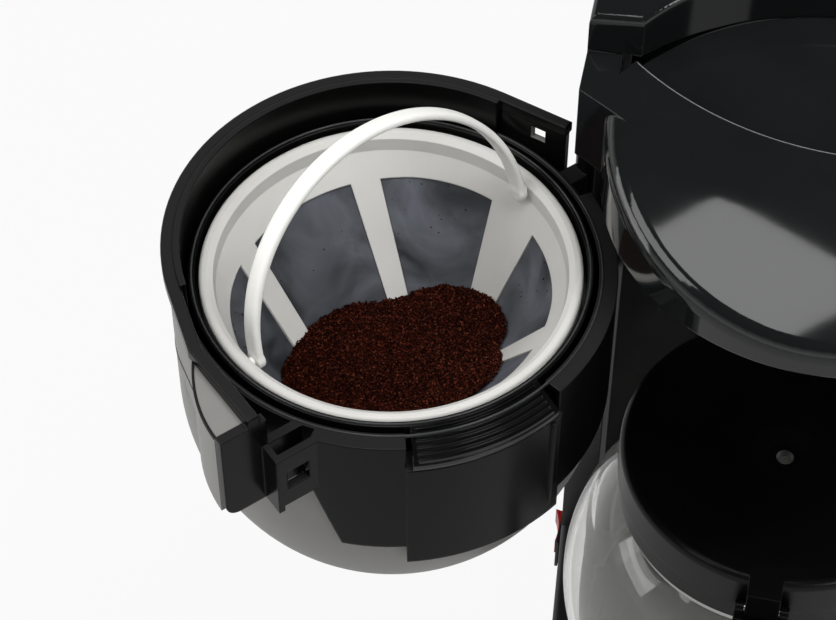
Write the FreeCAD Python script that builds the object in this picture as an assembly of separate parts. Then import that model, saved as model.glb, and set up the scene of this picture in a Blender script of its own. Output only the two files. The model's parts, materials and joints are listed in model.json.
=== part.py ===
import FreeCAD, Part
import math
import os

# Drip coffee maker with a swing-out basket, in millimetres, +Z up, front towards -Y.
# While it is drawn, the vertical line x = 0, y = 0 is the brew axis: the middle of the hot plate,
# the carafe and the closed basket. The basket is drawn closed and then swung open.

# Permanent filter: the standard cone that the holder is built round
FILTER_RADIUS = 59.0
FILTER_DEPTH = 69.0
FILTER_RIM_WIDTH = 3.4
FILTER_RIM_HEIGHT = 6.0
FILTER_WALL = 1.6
FILTER_SLOT_HALF = 25.0
FILTER_SLOT_RADIUS = 6.0
WINDOW_SPAN = 45.0
RIB_SPAN = 11.0
WINDOW_TOP_DROP = 14.0
WINDOW_FOOT = 10.0
MESH_SHEET = 0.4
BAIL_ANGLE = 172.0
BAIL_CLEAR = 0.4
BAIL_WIDTH = 5.6
BAIL_THICK = 3.0
BAIL_LEAN = 15.0
BAIL_PIN = 1.5
BAIL_RUN = 0.1
COFFEE_EDGE_DROP = 43.0
COFFEE_MOUND = 7.0
COFFEE_RADIUS = 40.0

# Walls, clearances and rounds used all over
WALL = 2.5
SHELL_WALL = 2.0
FIT = 0.3
EDGE_ROUND = 3.0
HINGE_PIN = 2.2
HINGE_RUN = 0.05
BEYOND = 600.0

# Plan sizes, from the filter outwards: basket, bowl, dome, bay, body
BASKET_CLEAR = 1.2
BASKET_WALL = 1.8
BASKET_GAP = 1.7
PANEL_PROUD = 1.5
SKIRT_PROUD = 1.6
SKIRT_BULGE = 1.6
HOLDER_ROOM = 9.0
BAY_SIDE = 3.0
BASE_SETBACK = 1.0
HOSE_RADIUS = 4.5
HOSE_BORE = 3.0
HOSE_ROOM = 2.5
TANK_DEPTH = 45.0
BODY_CORNER = 24.0
HINGE_INSET = 4.0
HINGE_Y = 17.5
basket_radius = FILTER_RADIUS + BASKET_CLEAR + BASKET_WALL
bowl_radius = basket_radius + BASKET_GAP + SHELL_WALL
DOME_RADIUS = bowl_radius + FIT + SHELL_WALL
PANEL_RADIUS = DOME_RADIUS + PANEL_PROUD
SKIRT_RADIUS = DOME_RADIUS + SKIRT_PROUD
BAY_RADIUS = DOME_RADIUS + HOLDER_ROOM
BODY_HALF_WIDTH = BAY_RADIUS + BAY_SIDE
BASE_FRONT_RADIUS = BAY_RADIUS - BASE_SETBACK
TANK_FRONT_RADIUS = BAY_RADIUS + WALL + 2 * HOSE_RADIUS + HOSE_ROOM
BODY_BACK = TANK_FRONT_RADIUS + TANK_DEPTH
HINGE_X = HINGE_INSET - BODY_HALF_WIDTH

# Carafe: belly from the bay it stands in, neck and lid from the belly
CARAFE_ROOM = 4.0
CARAFE_WAIST = 7.0
CARAFE_FOOT_ROUND = 16.0
CARAFE_NECK_STEP = 20.5
CARAFE_FOOT_HEIGHT = 17.0
CARAFE_SHOULDER_DROP = 33.0
CARAFE_NECK_HEIGHT = 15.0
CARAFE_RIM = 112.0
CARAFE_LID_HEIGHT = 17.0
CARAFE_LID_LIP = 4.5
GLASS = 2.4
COLLAR_HEIGHT = 12.0
HANDLE_GAP = 39.0
HANDLE_HALF_WIDTH = 12.0
HANDLE_THICK = 11.0
HANDLE_ROUND = 3.5
HANDLE_KNEE = 52.3
HANDLE_DROP = 85.3
CARAFE_SLIDE_GAP = 0.2
EAR = 2.4
LEVER_BACK = 3.4
CARAFE_BELLY = BAY_RADIUS - CARAFE_ROOM
CARAFE_FOOT = CARAFE_BELLY - CARAFE_WAIST
CARAFE_SHOULDER = CARAFE_BELLY - CARAFE_WAIST
CARAFE_BASE = CARAFE_FOOT - CARAFE_FOOT_ROUND
CARAFE_NECK = CARAFE_BELLY - CARAFE_NECK_STEP
CARAFE_LID_RADIUS = CARAFE_NECK + CARAFE_LID_LIP
CARAFE_LID_TOP = CARAFE_RIM + CARAFE_LID_HEIGHT
HANDLE_REACH = CARAFE_BELLY + HANDLE_GAP

# Heights, from the table up: base, hot plate, carafe, holder, filter, hood
FOOT_HEIGHT = 4.0
FOOT_RADIUS = 8.0
BASE_TOP = 36.0
PLATE_MARGIN = 15.0
PLATE_RISE = 2.0
PLATE_SHEET = 1.2
PLATE_LIP = 2.6
SEAL_HEIGHT = 0.8
DRIP_GAP = 4.8
PLUNGER_DROP = 8.0
DRIP_STOP_ROOM = 28.0
DOME_FLAT = 18.0
PANEL_RISE = 15.0
RIM_HEIGHT = 4.0
HOOD_GAP = 5.0
SKIRT_HEIGHT = 50.0
BULGE_DROP = 6.0
FIN_DROP = 25.0
SLEEVE_DROP = 72.0
HOOD_HEIGHT = 38.0
HOUSING_RISE = 31.0
TAB_RISE = 17.0
VALVE_ROOM = 34.0
PLATE_RADIUS = BASE_FRONT_RADIUS - PLATE_MARGIN
plate_top = BASE_TOP + PLATE_RISE
carafe_floor = plate_top + CARAFE_SLIDE_GAP
PLUNGER_TIP = carafe_floor + CARAFE_LID_TOP + DRIP_GAP
DOME_FLOOR = PLUNGER_TIP + PLUNGER_DROP
DOME_CENTRE = DOME_FLOOR + DOME_RADIUS - DOME_FLAT
filter_floor = DOME_FLOOR + DRIP_STOP_ROOM
FILTER_RIM_Z = filter_floor + FILTER_DEPTH
PANEL_TOP = FILTER_RIM_Z + PANEL_RISE
LIP_BOTTOM = PANEL_TOP + HOOD_GAP
SKIRT_BOTTOM = FILTER_RIM_Z - SKIRT_HEIGHT
FIN_BOTTOM = FILTER_RIM_Z - FIN_DROP
SLEEVE_BOTTOM = FILTER_RIM_Z - SLEEVE_DROP
HOOD_TOP = LIP_BOTTOM + HOOD_HEIGHT
HOUSING_TOP = LIP_BOTTOM + HOUSING_RISE
TAB_BOTTOM = LIP_BOTTOM + TAB_RISE
TANK_FLOOR = BASE_TOP + VALVE_ROOM

# Water heater and hoses
HEATER_LEG = 28.0
HEATER_WIDTH = 15.0
HEATER_HEIGHT = 13.0
HEATER_REACH = 38.0
HOSE_BEND = 12.0
STUB_END = 58.0
CLIP_SHEET = 0.8

# Tower, tank and reservoir lid
WING_FRONT = 42.0
TANK_WALL = 2.0
TAB_FRONT = 14.0
TAB_WIDTH = 11.0
SEAM_OVER = 4.0
SEAM_CENTRE_Y = -42.0
SEAM_GAP = 0.6
DECK_DEPTH = 16.0
LID_CROWN = 14.0
LID_SIDE = 8.0
LID_CROWN_RADIUS = 700.0
LID_HINGE_RISE = 4.0
LID_EAR_INSET = 22.0
LID_EAR_WIDTH = 5.0
SEAM_RADIUS = BODY_HALF_WIDTH + SEAM_OVER
TAB_INNER = BODY_HALF_WIDTH - TAB_WIDTH
LID_BACK = BODY_BACK - DECK_DEPTH
lid_ear = BODY_HALF_WIDTH - LID_EAR_INSET
lid_ear_end = lid_ear + LID_EAR_WIDTH

# Hood
HOOD_OVER = 3.0
SHOULDER_FRONT = -6.0
HOOD_ARC = 230.0
HOOD_ARC_Y = 40.0
HOOD_CROWN = 500.0
HOOD_LIP_ROUND = 7.0
CREASE_RADIUS = 96.0
CREASE_Y = 82.6
DISH_DEPTH = 14.0
SHOWER_RADIUS = 24.0
HOOD_RADIUS = DOME_RADIUS + HOOD_OVER

# Swing-out holder: how far it is open, silver panel, skirts, finger ledge and fin, latch
SWING_OPEN = 120.0
SLEEVE_RADIUS = 5.5
PANEL_RIM = 4.0
PANEL_RIGHT_ANGLE = -30.0
PANEL_RIGHT_RUN = 23.8
PANEL_TURN = 17.0
PANEL_END_RUN = 32.5
PANEL_LEFT_ANGLE = 190.7
PANEL_LEFT_RUN = 24.0
SKIRT_START = 22.5
SKIRT_TAPER = 19.0
SKIRT_END = 158.0
TAB_START = 46.0
TAB_END = 88.0
FIN_REACH = 9.5
FIN_THICK = 3.0
FIN_CORNER = 5.0
LEDGE_BOW = 1.6
LATCH_GAP = 5.0
LATCH_WALL = 2.5
LATCH_HOLE = 7.5

# Drip stop in the brew basket
DRIP_HOLE = 4.0
PLUNGER_STEM = 3.0
SPRING_RADIUS = 5.0
SPRING_WIRE = 0.5
SPRING_TURNS = 5

# Power switch on the left wall, cord gland at the back
SWITCH_Y = 50.0
SWITCH_Z = 21.0
SWITCH_LENGTH = 21.0
SWITCH_HEIGHT = 13.0
SWITCH_TILT = 8.0
ROCKER_PROUD = 3.2
GLAND_X = -45.0
GLAND_Z = 18.0
CORD_RADIUS = 3.6

V = FreeCAD.Vector
UP = V(0, 0, 1)

# Heights and places that follow from the driving dimensions
heater_top = plate_top - PLATE_SHEET - 0.2
stub_z = BASE_TOP - WALL - HOSE_RADIUS - CLIP_SHEET - 1.0
hose_lane = (BAY_RADIUS + WALL + TANK_FRONT_RADIUS) / 2
riser_y = math.sqrt(hose_lane ** 2 - HEATER_LEG ** 2)
outlet_y = (TANK_FRONT_RADIUS + BODY_BACK) / 2
bowl_floor = DOME_FLOOR + SHELL_WALL + FIT
basket_floor = bowl_floor + SHELL_WALL + BASKET_GAP
cone_top = FILTER_RIM_Z - FILTER_RIM_HEIGHT
cone_radius = FILTER_RADIUS - FILTER_RIM_WIDTH
bail_radius = cone_radius - FILTER_WALL - BAIL_CLEAR - BAIL_THICK / 2
bail_pivot_z = FILTER_RIM_Z - FILTER_RIM_HEIGHT / 2
lid_floor = HOUSING_TOP + SEAM_GAP
lid_hinge_z = HOUSING_TOP + LID_HINGE_RISE


def box(x0, x1, y0, y1, z0, z1):
    return Part.makeBox(x1 - x0, y1 - y0, z1 - z0, V(x0, y0, z0))


def rod(radius, z0, z1, x=0.0, y=0.0):
    return Part.makeCylinder(radius, z1 - z0, V(x, y, z0))


def bar(radius, start, end):
    """Round bar between two points."""
    run = V(*end) - V(*start)
    return Part.makeCylinder(radius, run.Length, V(*start), run)


def ring(outer, inner, z0, z1, x=0.0, y=0.0):
    return rod(outer, z0, z1, x, y).cut(rod(inner, z0 - 1, z1 + 1, x, y))


def path(steps, place):
    """Closed wire: a step is a point, or a pair of a point on an arc and the arc's end."""
    edges = []
    here = place(*steps[0])
    for step in steps[1:] + [steps[0]]:
        if isinstance(step[0], tuple):
            end = place(*step[1])
            edges.append(Part.Arc(here, place(*step[0]), end).toShape())
        else:
            end = place(*step)
            if end.distanceToPoint(here) > 1e-6:
                edges.append(Part.LineSegment(here, end).toShape())
        here = end
    return Part.Wire(edges)


def plan(steps, z0, z1):
    """Prism on a plan outline of (x, y) steps."""
    face = Part.Face(path(steps, lambda x, y: V(x, y, z0)))
    return face.extrude(V(0, 0, z1 - z0))


def side(steps, x0, x1):
    """Prism along X on an outline of (y, z) steps."""
    face = Part.Face(path(steps, lambda y, z: V(x0, y, z)))
    return face.extrude(V(x1 - x0, 0, 0))


def spun(steps, start=0.0, end=360.0):
    """Solid of revolution about the brew axis from an outline of (r, z) steps."""
    face = Part.Face(path(steps, lambda r, z: V(r, 0, z)))
    return turned(face.revolve(V(0, 0, 0), UP, end - start), start)


def turned(shape, angle, centre=V(0, 0, 0), axis=UP):
    copy = shape.copy()
    copy.rotate(centre, axis, angle)
    return copy


def mirrored(shape):
    return shape.mirror(V(0, 0, 0), V(1, 0, 0))


def both(shape):
    return [shape, mirrored(shape)]


def joined(shapes):
    return shapes[0].multiFuse(shapes[1:]).removeSplitter()


def group(shapes):
    return Part.makeCompound(shapes)


def around(radius, angle, z=0.0):
    turn = math.radians(angle)
    return V(radius * math.cos(turn), radius * math.sin(turn), z)


def route(points, bend):
    """Open wire of straight runs joined by tangent arcs of one bend radius."""
    places = [V(*point) for point in points]
    edges = []
    here = places[0]
    for before, corner, after in zip(places, places[1:], places[2:]):
        inward = (before - corner).normalize()
        onward = (after - corner).normalize()
        half = inward.getAngle(onward) / 2
        reach = bend / math.tan(half)
        first = corner + inward * reach
        last = corner + onward * reach
        middle = corner + (inward + onward).normalize() * (bend / math.sin(half) - bend)
        edges.append(Part.LineSegment(here, first).toShape())
        edges.append(Part.Arc(first, middle, last).toShape())
        here = last
    edges.append(Part.LineSegment(here, places[-1]).toShape())
    return Part.Wire(edges)


def tube(points, radius, bend, bore=0.0):
    """Round tube along a route, hollow where a bore is given."""
    spine = route(points, bend)
    start = V(*points[0])
    run = V(*points[1]) - start

    def core(size):
        return spine.makePipeShell([Part.Wire(Part.makeCircle(size, start, run))], True, False)
    return core(radius).cut(core(bore)) if bore else core(radius)


def body_plan(inset, front, z0, z1):
    """Rear part of the body: straight front, rounded rear corners."""
    half = BODY_HALF_WIDTH - inset
    back = BODY_BACK - inset
    corner = BODY_CORNER - inset
    cut = corner * (1 - math.sqrt(0.5))
    return plan([(-half, front), (half, front), (half, back - corner),
                 ((half - cut, back - cut), (half - corner, back)), (corner - half, back),
                 ((cut - half, back - cut), (-half, back - corner))], z0, z1)


def base_plan(inset, z0, z1):
    """Base: half round under the hot plate, widening to the body's width behind it."""
    front = BASE_FRONT_RADIUS - inset
    half = BODY_HALF_WIDTH - inset
    back = BODY_BACK - inset
    corner = BODY_CORNER - inset
    cut = corner * (1 - math.sqrt(0.5))
    return plan([(-front, 0), ((0, -front), (front, 0)), (half, WING_FRONT), (half, back - corner),
                 ((half - cut, back - cut), (half - corner, back)), (corner - half, back),
                 ((cut - half, back - cut), (-half, back - corner)), (-half, WING_FRONT)], z0, z1)


# Base, hot plate, heater
FOOT_FRONT = (BASE_FRONT_RADIUS - 28, -42)
FOOT_REAR = (BODY_HALF_WIDTH - 18, BODY_BACK - 22)
SCREW_FRONT = (BASE_FRONT_RADIUS - 16, -18)
SCREW_REAR = (BODY_HALF_WIDTH - 14, BODY_BACK - 46)
FOOT_PLACES = [(side_sign * x, y) for x, y in (FOOT_FRONT, FOOT_REAR) for side_sign in (-1, 1)]
SCREW_PLACES = [(side_sign * x, y) for x, y in (SCREW_FRONT, SCREW_REAR) for side_sign in (-1, 1)]
SCREW_SHANK = 1.5
SCREW_HEAD = 3.0
cover_top = FOOT_HEIGHT + WALL


def base_housing():
    outer = base_plan(0, FOOT_HEIGHT, BASE_TOP)
    rim = [edge for edge in outer.Edges
           if edge.BoundBox.ZMin > BASE_TOP - 0.1]
    outer = outer.makeFillet(EDGE_ROUND, rim)
    shell = outer.cut(base_plan(WALL, FOOT_HEIGHT - 1, BASE_TOP - WALL))
    bosses = [rod(SCREW_HEAD + 1, cover_top, BASE_TOP - WALL, x, y) for x, y in SCREW_PLACES]
    pilots = [rod(SCREW_SHANK + 0.05, cover_top - 1, BASE_TOP - WALL - 2, x, y)
              for x, y in SCREW_PLACES]
    holes = [rod(PLATE_RADIUS - PLATE_LIP, 0, BASE_TOP + 5),
             rod(HOSE_RADIUS + 3, BASE_TOP - WALL - 1, BASE_TOP + 1, -HEATER_LEG, riser_y),
             rod(HOSE_RADIUS + 3, BASE_TOP - WALL - 1, BASE_TOP + 1, HEATER_LEG, outlet_y),
             switch_block(0, WALL + 6),
             bar(CORD_RADIUS + WALL + FIT, (GLAND_X, BODY_BACK - WALL - 5, GLAND_Z),
                 (GLAND_X, BODY_BACK + 5, GLAND_Z))]
    return joined([shell] + bosses).cut(group(pilots + holes))


def bottom_cover():
    plate = base_plan(WALL + FIT, FOOT_HEIGHT, cover_top)
    holes = [rod(SCREW_SHANK + FIT, 0, cover_top + 1, x, y) for x, y in SCREW_PLACES]
    return plate.cut(group(holes))


def rubber_feet():
    pegs = []
    for x, y in FOOT_PLACES:
        foot = rod(FOOT_RADIUS, 0, FOOT_HEIGHT, x, y)
        pegs.append(foot.makeChamfer(0.8, [edge for edge in foot.Edges if edge.BoundBox.ZMax < 0.1]))
    return group(pegs)


def bottom_screws():
    screws = []
    for x, y in SCREW_PLACES:
        head = rod(SCREW_HEAD, FOOT_HEIGHT - 1.8, FOOT_HEIGHT, x, y)
        screws.append(head.fuse(rod(SCREW_SHANK, FOOT_HEIGHT, cover_top + 8, x, y)))
    return group(screws)


def hot_plate():
    skirt = PLATE_RADIUS - PLATE_LIP - FIT
    sheet = plate_top - PLATE_SHEET
    plate_skirt = BASE_TOP - WALL - FIT
    return spun([(0, sheet), (skirt - PLATE_SHEET, sheet), (skirt - PLATE_SHEET, plate_skirt),
                 (skirt, plate_skirt), (skirt, BASE_TOP + SEAL_HEIGHT),
                 (PLATE_RADIUS, BASE_TOP + SEAL_HEIGHT),
                 (PLATE_RADIUS, plate_top - 0.4), (PLATE_RADIUS - 0.4, plate_top), (0, plate_top)])


def plate_seal():
    return ring(PLATE_RADIUS, PLATE_RADIUS - PLATE_LIP, BASE_TOP, BASE_TOP + SEAL_HEIGHT)


def heater_block():
    outer = HEATER_LEG + HEATER_WIDTH / 2
    inner = HEATER_LEG - HEATER_WIDTH / 2
    bottom = heater_top - HEATER_HEIGHT
    block = plan([(-outer, HEATER_REACH), (-outer, 0), ((0, -outer), (outer, 0)), (outer, HEATER_REACH),
                  (inner, HEATER_REACH), (inner, 0), ((0, -inner), (-inner, 0)), (-inner, HEATER_REACH)],
                 bottom, heater_top)
    stubs = [bar(HOSE_BORE - 0.05, (x, HEATER_REACH - 1, stub_z), (x, STUB_END, stub_z))
             for x in (-HEATER_LEG, HEATER_LEG)]
    return joined([block] + stubs)


CLAMP_Y = 10.0
CLAMP_SHEET = 1.5


def heater_clamp():
    reach = HEATER_LEG + HEATER_WIDTH / 2 + 2
    bottom = heater_top - HEATER_HEIGHT
    strap = box(-reach, reach, CLAMP_Y - 7, CLAMP_Y + 7, bottom - CLAMP_SHEET, bottom)
    post = rod(5, bottom, heater_top, 0, CLAMP_Y)
    return strap.fuse(post).cut(rod(SCREW_SHANK + 0.05, bottom - 5, heater_top + 1, 0, CLAMP_Y))


def clamp_screw():
    bottom = heater_top - HEATER_HEIGHT - CLAMP_SHEET
    return rod(SCREW_HEAD, bottom - 2, bottom, 0, CLAMP_Y).fuse(
        rod(SCREW_SHANK, bottom, heater_top - 1, 0, CLAMP_Y))


def thermostat():
    bottom = heater_top - HEATER_HEIGHT - CLAMP_SHEET
    can = rod(8, bottom - 7, bottom, HEATER_LEG, CLAMP_Y)
    pins = [box(HEATER_LEG + x - 0.4, HEATER_LEG + x + 0.4, CLAMP_Y - 3, CLAMP_Y + 3, bottom - 11, bottom - 6)
            for x in (-5, 5)]
    return joined([can] + pins)


def thermal_fuses():
    low = heater_top - HEATER_HEIGHT - 2.2
    return group([bar(2.2, (-HEATER_LEG + x, CLAMP_Y + 9, low), (-HEATER_LEG + x, CLAMP_Y + 24, low))
                  for x in (-4, 4)])


TERMINAL_Y = BODY_BACK - 36


def terminal_block():
    block = box(-20, 10, TERMINAL_Y, TERMINAL_Y + 12, cover_top, cover_top + 12)
    screws = [rod(2.4, cover_top + 10, cover_top + 13, x, TERMINAL_Y + 6) for x in (-14, -5, 4)]
    return block.cut(group(screws))


def wires():
    switch_x = -BODY_HALF_WIDTH + WALL + 19
    low = cover_top + 5
    lead = tube([(switch_x, SWITCH_Y + 3, SWITCH_Z - 3), (switch_x + 22, SWITCH_Y + 3, low + 2),
                 (-14, TERMINAL_Y - 26, low), (-14, TERMINAL_Y - 0.2, low)], 1.3, 8)
    feed = tube([(4, TERMINAL_Y - 0.2, low), (4, TERMINAL_Y - 30, low), (14, 30, low),
                 (HEATER_LEG - 9.6, CLAMP_Y + 3, low)], 1.3, 8)
    return group([lead, feed])


# Switch and cord gland
bezel_lip = 2.0


def switch_block(grow, depth):
    """Rectangular space in the left wall, as deep as asked for."""
    half = SWITCH_LENGTH / 2 + grow
    tall = SWITCH_HEIGHT / 2 + grow
    wall_x = -BODY_HALF_WIDTH
    return box(wall_x - 3, wall_x + depth, SWITCH_Y - half, SWITCH_Y + half, SWITCH_Z - tall, SWITCH_Z + tall)


def switch_bezel():
    wall_x = -BODY_HALF_WIDTH
    half = SWITCH_LENGTH / 2 - FIT
    tall = SWITCH_HEIGHT / 2 - FIT
    sleeve = box(wall_x, wall_x + 17, SWITCH_Y - half, SWITCH_Y + half, SWITCH_Z - tall, SWITCH_Z + tall)
    lip = box(wall_x - 1.2, wall_x, SWITCH_Y - half - bezel_lip, SWITCH_Y + half + bezel_lip,
              SWITCH_Z - tall - bezel_lip, SWITCH_Z + tall + bezel_lip)
    well = box(wall_x - 3, wall_x + 11, SWITCH_Y - half + 1.5, SWITCH_Y + half - 1.5,
               SWITCH_Z - tall + 1.5, SWITCH_Z + tall - 1.5)
    pin = rod(1.0, SWITCH_Z - tall, SWITCH_Z + tall, wall_x + 4, SWITCH_Y)
    blades = [box(wall_x + 17, wall_x + 21.5, SWITCH_Y + y - 0.4, SWITCH_Y + y + 0.4,
                  SWITCH_Z - 2, SWITCH_Z + 2) for y in (-4, 4)]
    return joined([sleeve.fuse(lip).cut(well), pin] + blades)


def switch_rocker():
    wall_x = -BODY_HALF_WIDTH
    half = SWITCH_LENGTH / 2 - FIT - 2.6
    tall = SWITCH_HEIGHT / 2 - FIT - 1.9
    back = wall_x + 7.0
    outline = [(back, SWITCH_Y - half * 0.6), (wall_x - ROCKER_PROUD, SWITCH_Y - half),
               ((wall_x - ROCKER_PROUD + 1.2, SWITCH_Y), (wall_x - ROCKER_PROUD, SWITCH_Y + half)),
               (back, SWITCH_Y + half * 0.6)]
    key = plan(outline, SWITCH_Z - tall, SWITCH_Z + tall)
    key = key.cut(rod(1.0 + HINGE_RUN, 0, BASE_TOP, wall_x + 4, SWITCH_Y))
    return turned(key, SWITCH_TILT, V(wall_x + 4, SWITCH_Y, 0))


def cord_gland():
    start = (GLAND_X, BODY_BACK - WALL - 10, GLAND_Z)
    end = (GLAND_X, BODY_BACK + 2, GLAND_Z)
    sleeve = bar(CORD_RADIUS + WALL, start, end)
    flange = bar(CORD_RADIUS + WALL + 2.5, (GLAND_X, BODY_BACK, GLAND_Z), end)
    return sleeve.fuse(flange).cut(bar(CORD_RADIUS, (GLAND_X, BODY_BACK - 20, GLAND_Z),
                                       (GLAND_X, BODY_BACK + 5, GLAND_Z)))


# Tower and water path
LEDGE = 3.0
tank_rim = TAB_BOTTOM + 6


def rear_housing():
    outer = body_plan(0, WING_FRONT, BASE_TOP, HOUSING_TOP)
    inner = body_plan(WALL, WING_FRONT + WALL, BASE_TOP - 1, HOUSING_TOP + 1)
    shell = outer.cut(inner)
    shell = shell.cut(rod(BAY_RADIUS + WALL + 0.1, BASE_TOP - 1, LIP_BOTTOM))
    over_bay = box(-TAB_INNER, TAB_INNER, 0, WING_FRONT + WALL + 1, LIP_BOTTOM - 1, HOUSING_TOP + 1)
    shell = shell.cut(over_bay)
    half = BODY_HALF_WIDTH
    tab = box(TAB_INNER, half, TAB_FRONT, WING_FRONT + WALL, TAB_BOTTOM, HOUSING_TOP)
    tab = tab.cut(box(TAB_INNER - 1, half - WALL, TAB_FRONT + WALL, WING_FRONT + WALL + 1,
                      TAB_BOTTOM - 1, HOUSING_TOP + 1))
    ledge = box(half - WALL - LEDGE, half - WALL, WING_FRONT + 6, BODY_BACK - BODY_CORNER,
                tank_rim - 4, tank_rim)
    deck_front = LID_BACK + LID_HINGE_RISE + 4
    deck = body_plan(0, WING_FRONT, HOUSING_TOP - 4, HOUSING_TOP + 6).common(
        box(-half, half, deck_front, BODY_BACK, 0, HOUSING_TOP + 10))
    top = [edge for edge in deck.Edges
           if edge.BoundBox.ZMin > HOUSING_TOP + 5.9 and edge.BoundBox.YMax > deck_front + 0.1]
    deck = deck.makeFillet(2.2, top)
    deck = deck.cut(body_plan(WALL, WING_FRONT, HOUSING_TOP - 5, HOUSING_TOP + 6 - WALL).common(
        box(-half, half, deck_front + WALL, BODY_BACK, 0, HOUSING_TOP + 10)))
    ear = bar(LID_HINGE_RISE, (lid_ear, LID_BACK, lid_hinge_z), (lid_ear_end, LID_BACK, lid_hinge_z)).fuse(
        box(lid_ear, lid_ear_end, LID_BACK, deck_front + 1, lid_hinge_z - LID_HINGE_RISE, lid_hinge_z + 2))
    pin_bore = bar(HINGE_PIN, (-half, LID_BACK, lid_hinge_z), (half, LID_BACK, lid_hinge_z))
    slot = box(-half - 1, 20 - half, BODY_BACK - BODY_CORNER - 16, BODY_BACK - BODY_CORNER - 8,
               TANK_FLOOR + 20, tank_rim - 40)
    lower_ear = box(HINGE_X - SLEEVE_RADIUS + 2, HINGE_X + SLEEVE_RADIUS, HINGE_Y, WING_FRONT + WALL,
                    SLEEVE_BOTTOM - 11, SLEEVE_BOTTOM - 0.5)
    lower_ear = lower_ear.fuse(rod(SLEEVE_RADIUS, SLEEVE_BOTTOM - 11, SLEEVE_BOTTOM - 0.5, HINGE_X, HINGE_Y))
    lower_ear = lower_ear.cut(rod(HINGE_PIN, SLEEVE_BOTTOM - 9, SLEEVE_BOTTOM + 1, HINGE_X, HINGE_Y))
    solids = [shell] + both(tab) + both(ledge) + [deck] + both(ear) + [lower_ear]
    return joined(solids).cut(group([pin_bore, slot]))


def level_window():
    back = BODY_BACK - BODY_CORNER - 8 - FIT
    half = BODY_HALF_WIDTH
    return box(-half - 0.6, WALL - half, back - 8 + 2 * FIT, back, TANK_FLOOR + 20 + FIT, tank_rim - 40 - FIT)


def tower_front_wall():
    end = math.degrees(math.asin(WING_FRONT / (BAY_RADIUS + WALL)))
    wall = spun([(BAY_RADIUS, BASE_TOP), (BAY_RADIUS + WALL, BASE_TOP), (BAY_RADIUS + WALL, LIP_BOTTOM - 0.2),
                 (BAY_RADIUS, LIP_BOTTOM - 0.2)], end, 180 - end)
    ribs = [spun([(BAY_RADIUS - 0.8, BASE_TOP + 20), (BAY_RADIUS + 1, BASE_TOP + 20),
                  (BAY_RADIUS + 1, LIP_BOTTOM - 20), (BAY_RADIUS - 0.8, LIP_BOTTOM - 20)], angle, angle + 1.5)
            for angle in (62, 70, 108, 116)]
    return joined([wall] + ribs)


def water_tank():
    def inside(inset, z0, z1):
        prism = body_plan(WALL + 1 + inset, WING_FRONT + WALL + 2 + inset, z0, z1)
        return prism.cut(rod(TANK_FRONT_RADIUS + inset, z0 - 1, z1 + 1))
    vessel = inside(LEDGE, TANK_FLOOR, tank_rim + TANK_WALL)
    flange = inside(-0.7, tank_rim, tank_rim + TANK_WALL)
    spout = rod(HOSE_RADIUS + 1.5, TANK_FLOOR - 8, TANK_FLOOR + 1, HEATER_LEG, outlet_y)
    solid = joined([vessel, flange, spout])
    solid = solid.cut(inside(LEDGE + TANK_WALL, TANK_FLOOR + TANK_WALL, tank_rim + TANK_WALL + 1))
    return solid.cut(rod(HOSE_BORE, TANK_FLOOR - 9, TANK_FLOOR + TANK_WALL + 1, HEATER_LEG, outlet_y))


valve_floor = TANK_FLOOR - 22


def check_valve():
    body = rod(HOSE_RADIUS + 2, valve_floor, TANK_FLOOR - 8, HEATER_LEG, outlet_y)
    return body.cut(rod(HOSE_BORE, valve_floor - 1, TANK_FLOOR, HEATER_LEG, outlet_y))


def inlet_hose():
    return tube([(HEATER_LEG, HEATER_REACH + 4, stub_z), (HEATER_LEG, outlet_y, stub_z),
                 (HEATER_LEG, outlet_y, valve_floor)], HOSE_RADIUS, HOSE_BEND, HOSE_BORE)


spray_top = LIP_BOTTOM + 15
spray_mid = spray_top - HOSE_RADIUS - 2


def riser_hose():
    reach = math.hypot(HEATER_LEG, riser_y)
    stop = (SHOWER_RADIUS / 2 + FIT) / reach
    return tube([(-HEATER_LEG, HEATER_REACH + 4, stub_z), (-HEATER_LEG, riser_y, stub_z),
                 (-HEATER_LEG, riser_y, spray_mid), (-HEATER_LEG * stop, riser_y * stop, spray_mid)],
                HOSE_RADIUS, HOSE_BEND, HOSE_BORE)


def hose_clips():
    clips = []
    for x in (-HEATER_LEG, HEATER_LEG):
        clip = bar(HOSE_RADIUS + CLIP_SHEET, (x, HEATER_REACH + 8, stub_z), (x, HEATER_REACH + 13, stub_z))
        clips.append(clip.cut(bar(HOSE_RADIUS, (x, 0, stub_z), (x, BODY_BACK, stub_z))))
    return group(clips)


# Hood
shower_sheet = 2.0


def under_crown(drop, front, back):
    """Everything below the hood's crowned top, lowered by the given drop."""
    radius = HOOD_ARC - drop

    def height(y):
        return HOOD_TOP - HOOD_ARC + math.sqrt(radius ** 2 - (y - HOOD_ARC_Y) ** 2)
    outline = [(front, LIP_BOTTOM - 20), (back, LIP_BOTTOM - 20), (back, height(back)),
               ((HOOD_ARC_Y, height(HOOD_ARC_Y)), (front, height(front)))]
    face = Part.Face(path(outline, lambda y, z: V(0, y, z)))
    axis_point = V(0, 0, HOOD_TOP - HOOD_CROWN)
    slab = face.revolve(axis_point, V(0, 1, 0), 24)
    return turned(slab, -12, axis_point, V(0, 1, 0))


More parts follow.
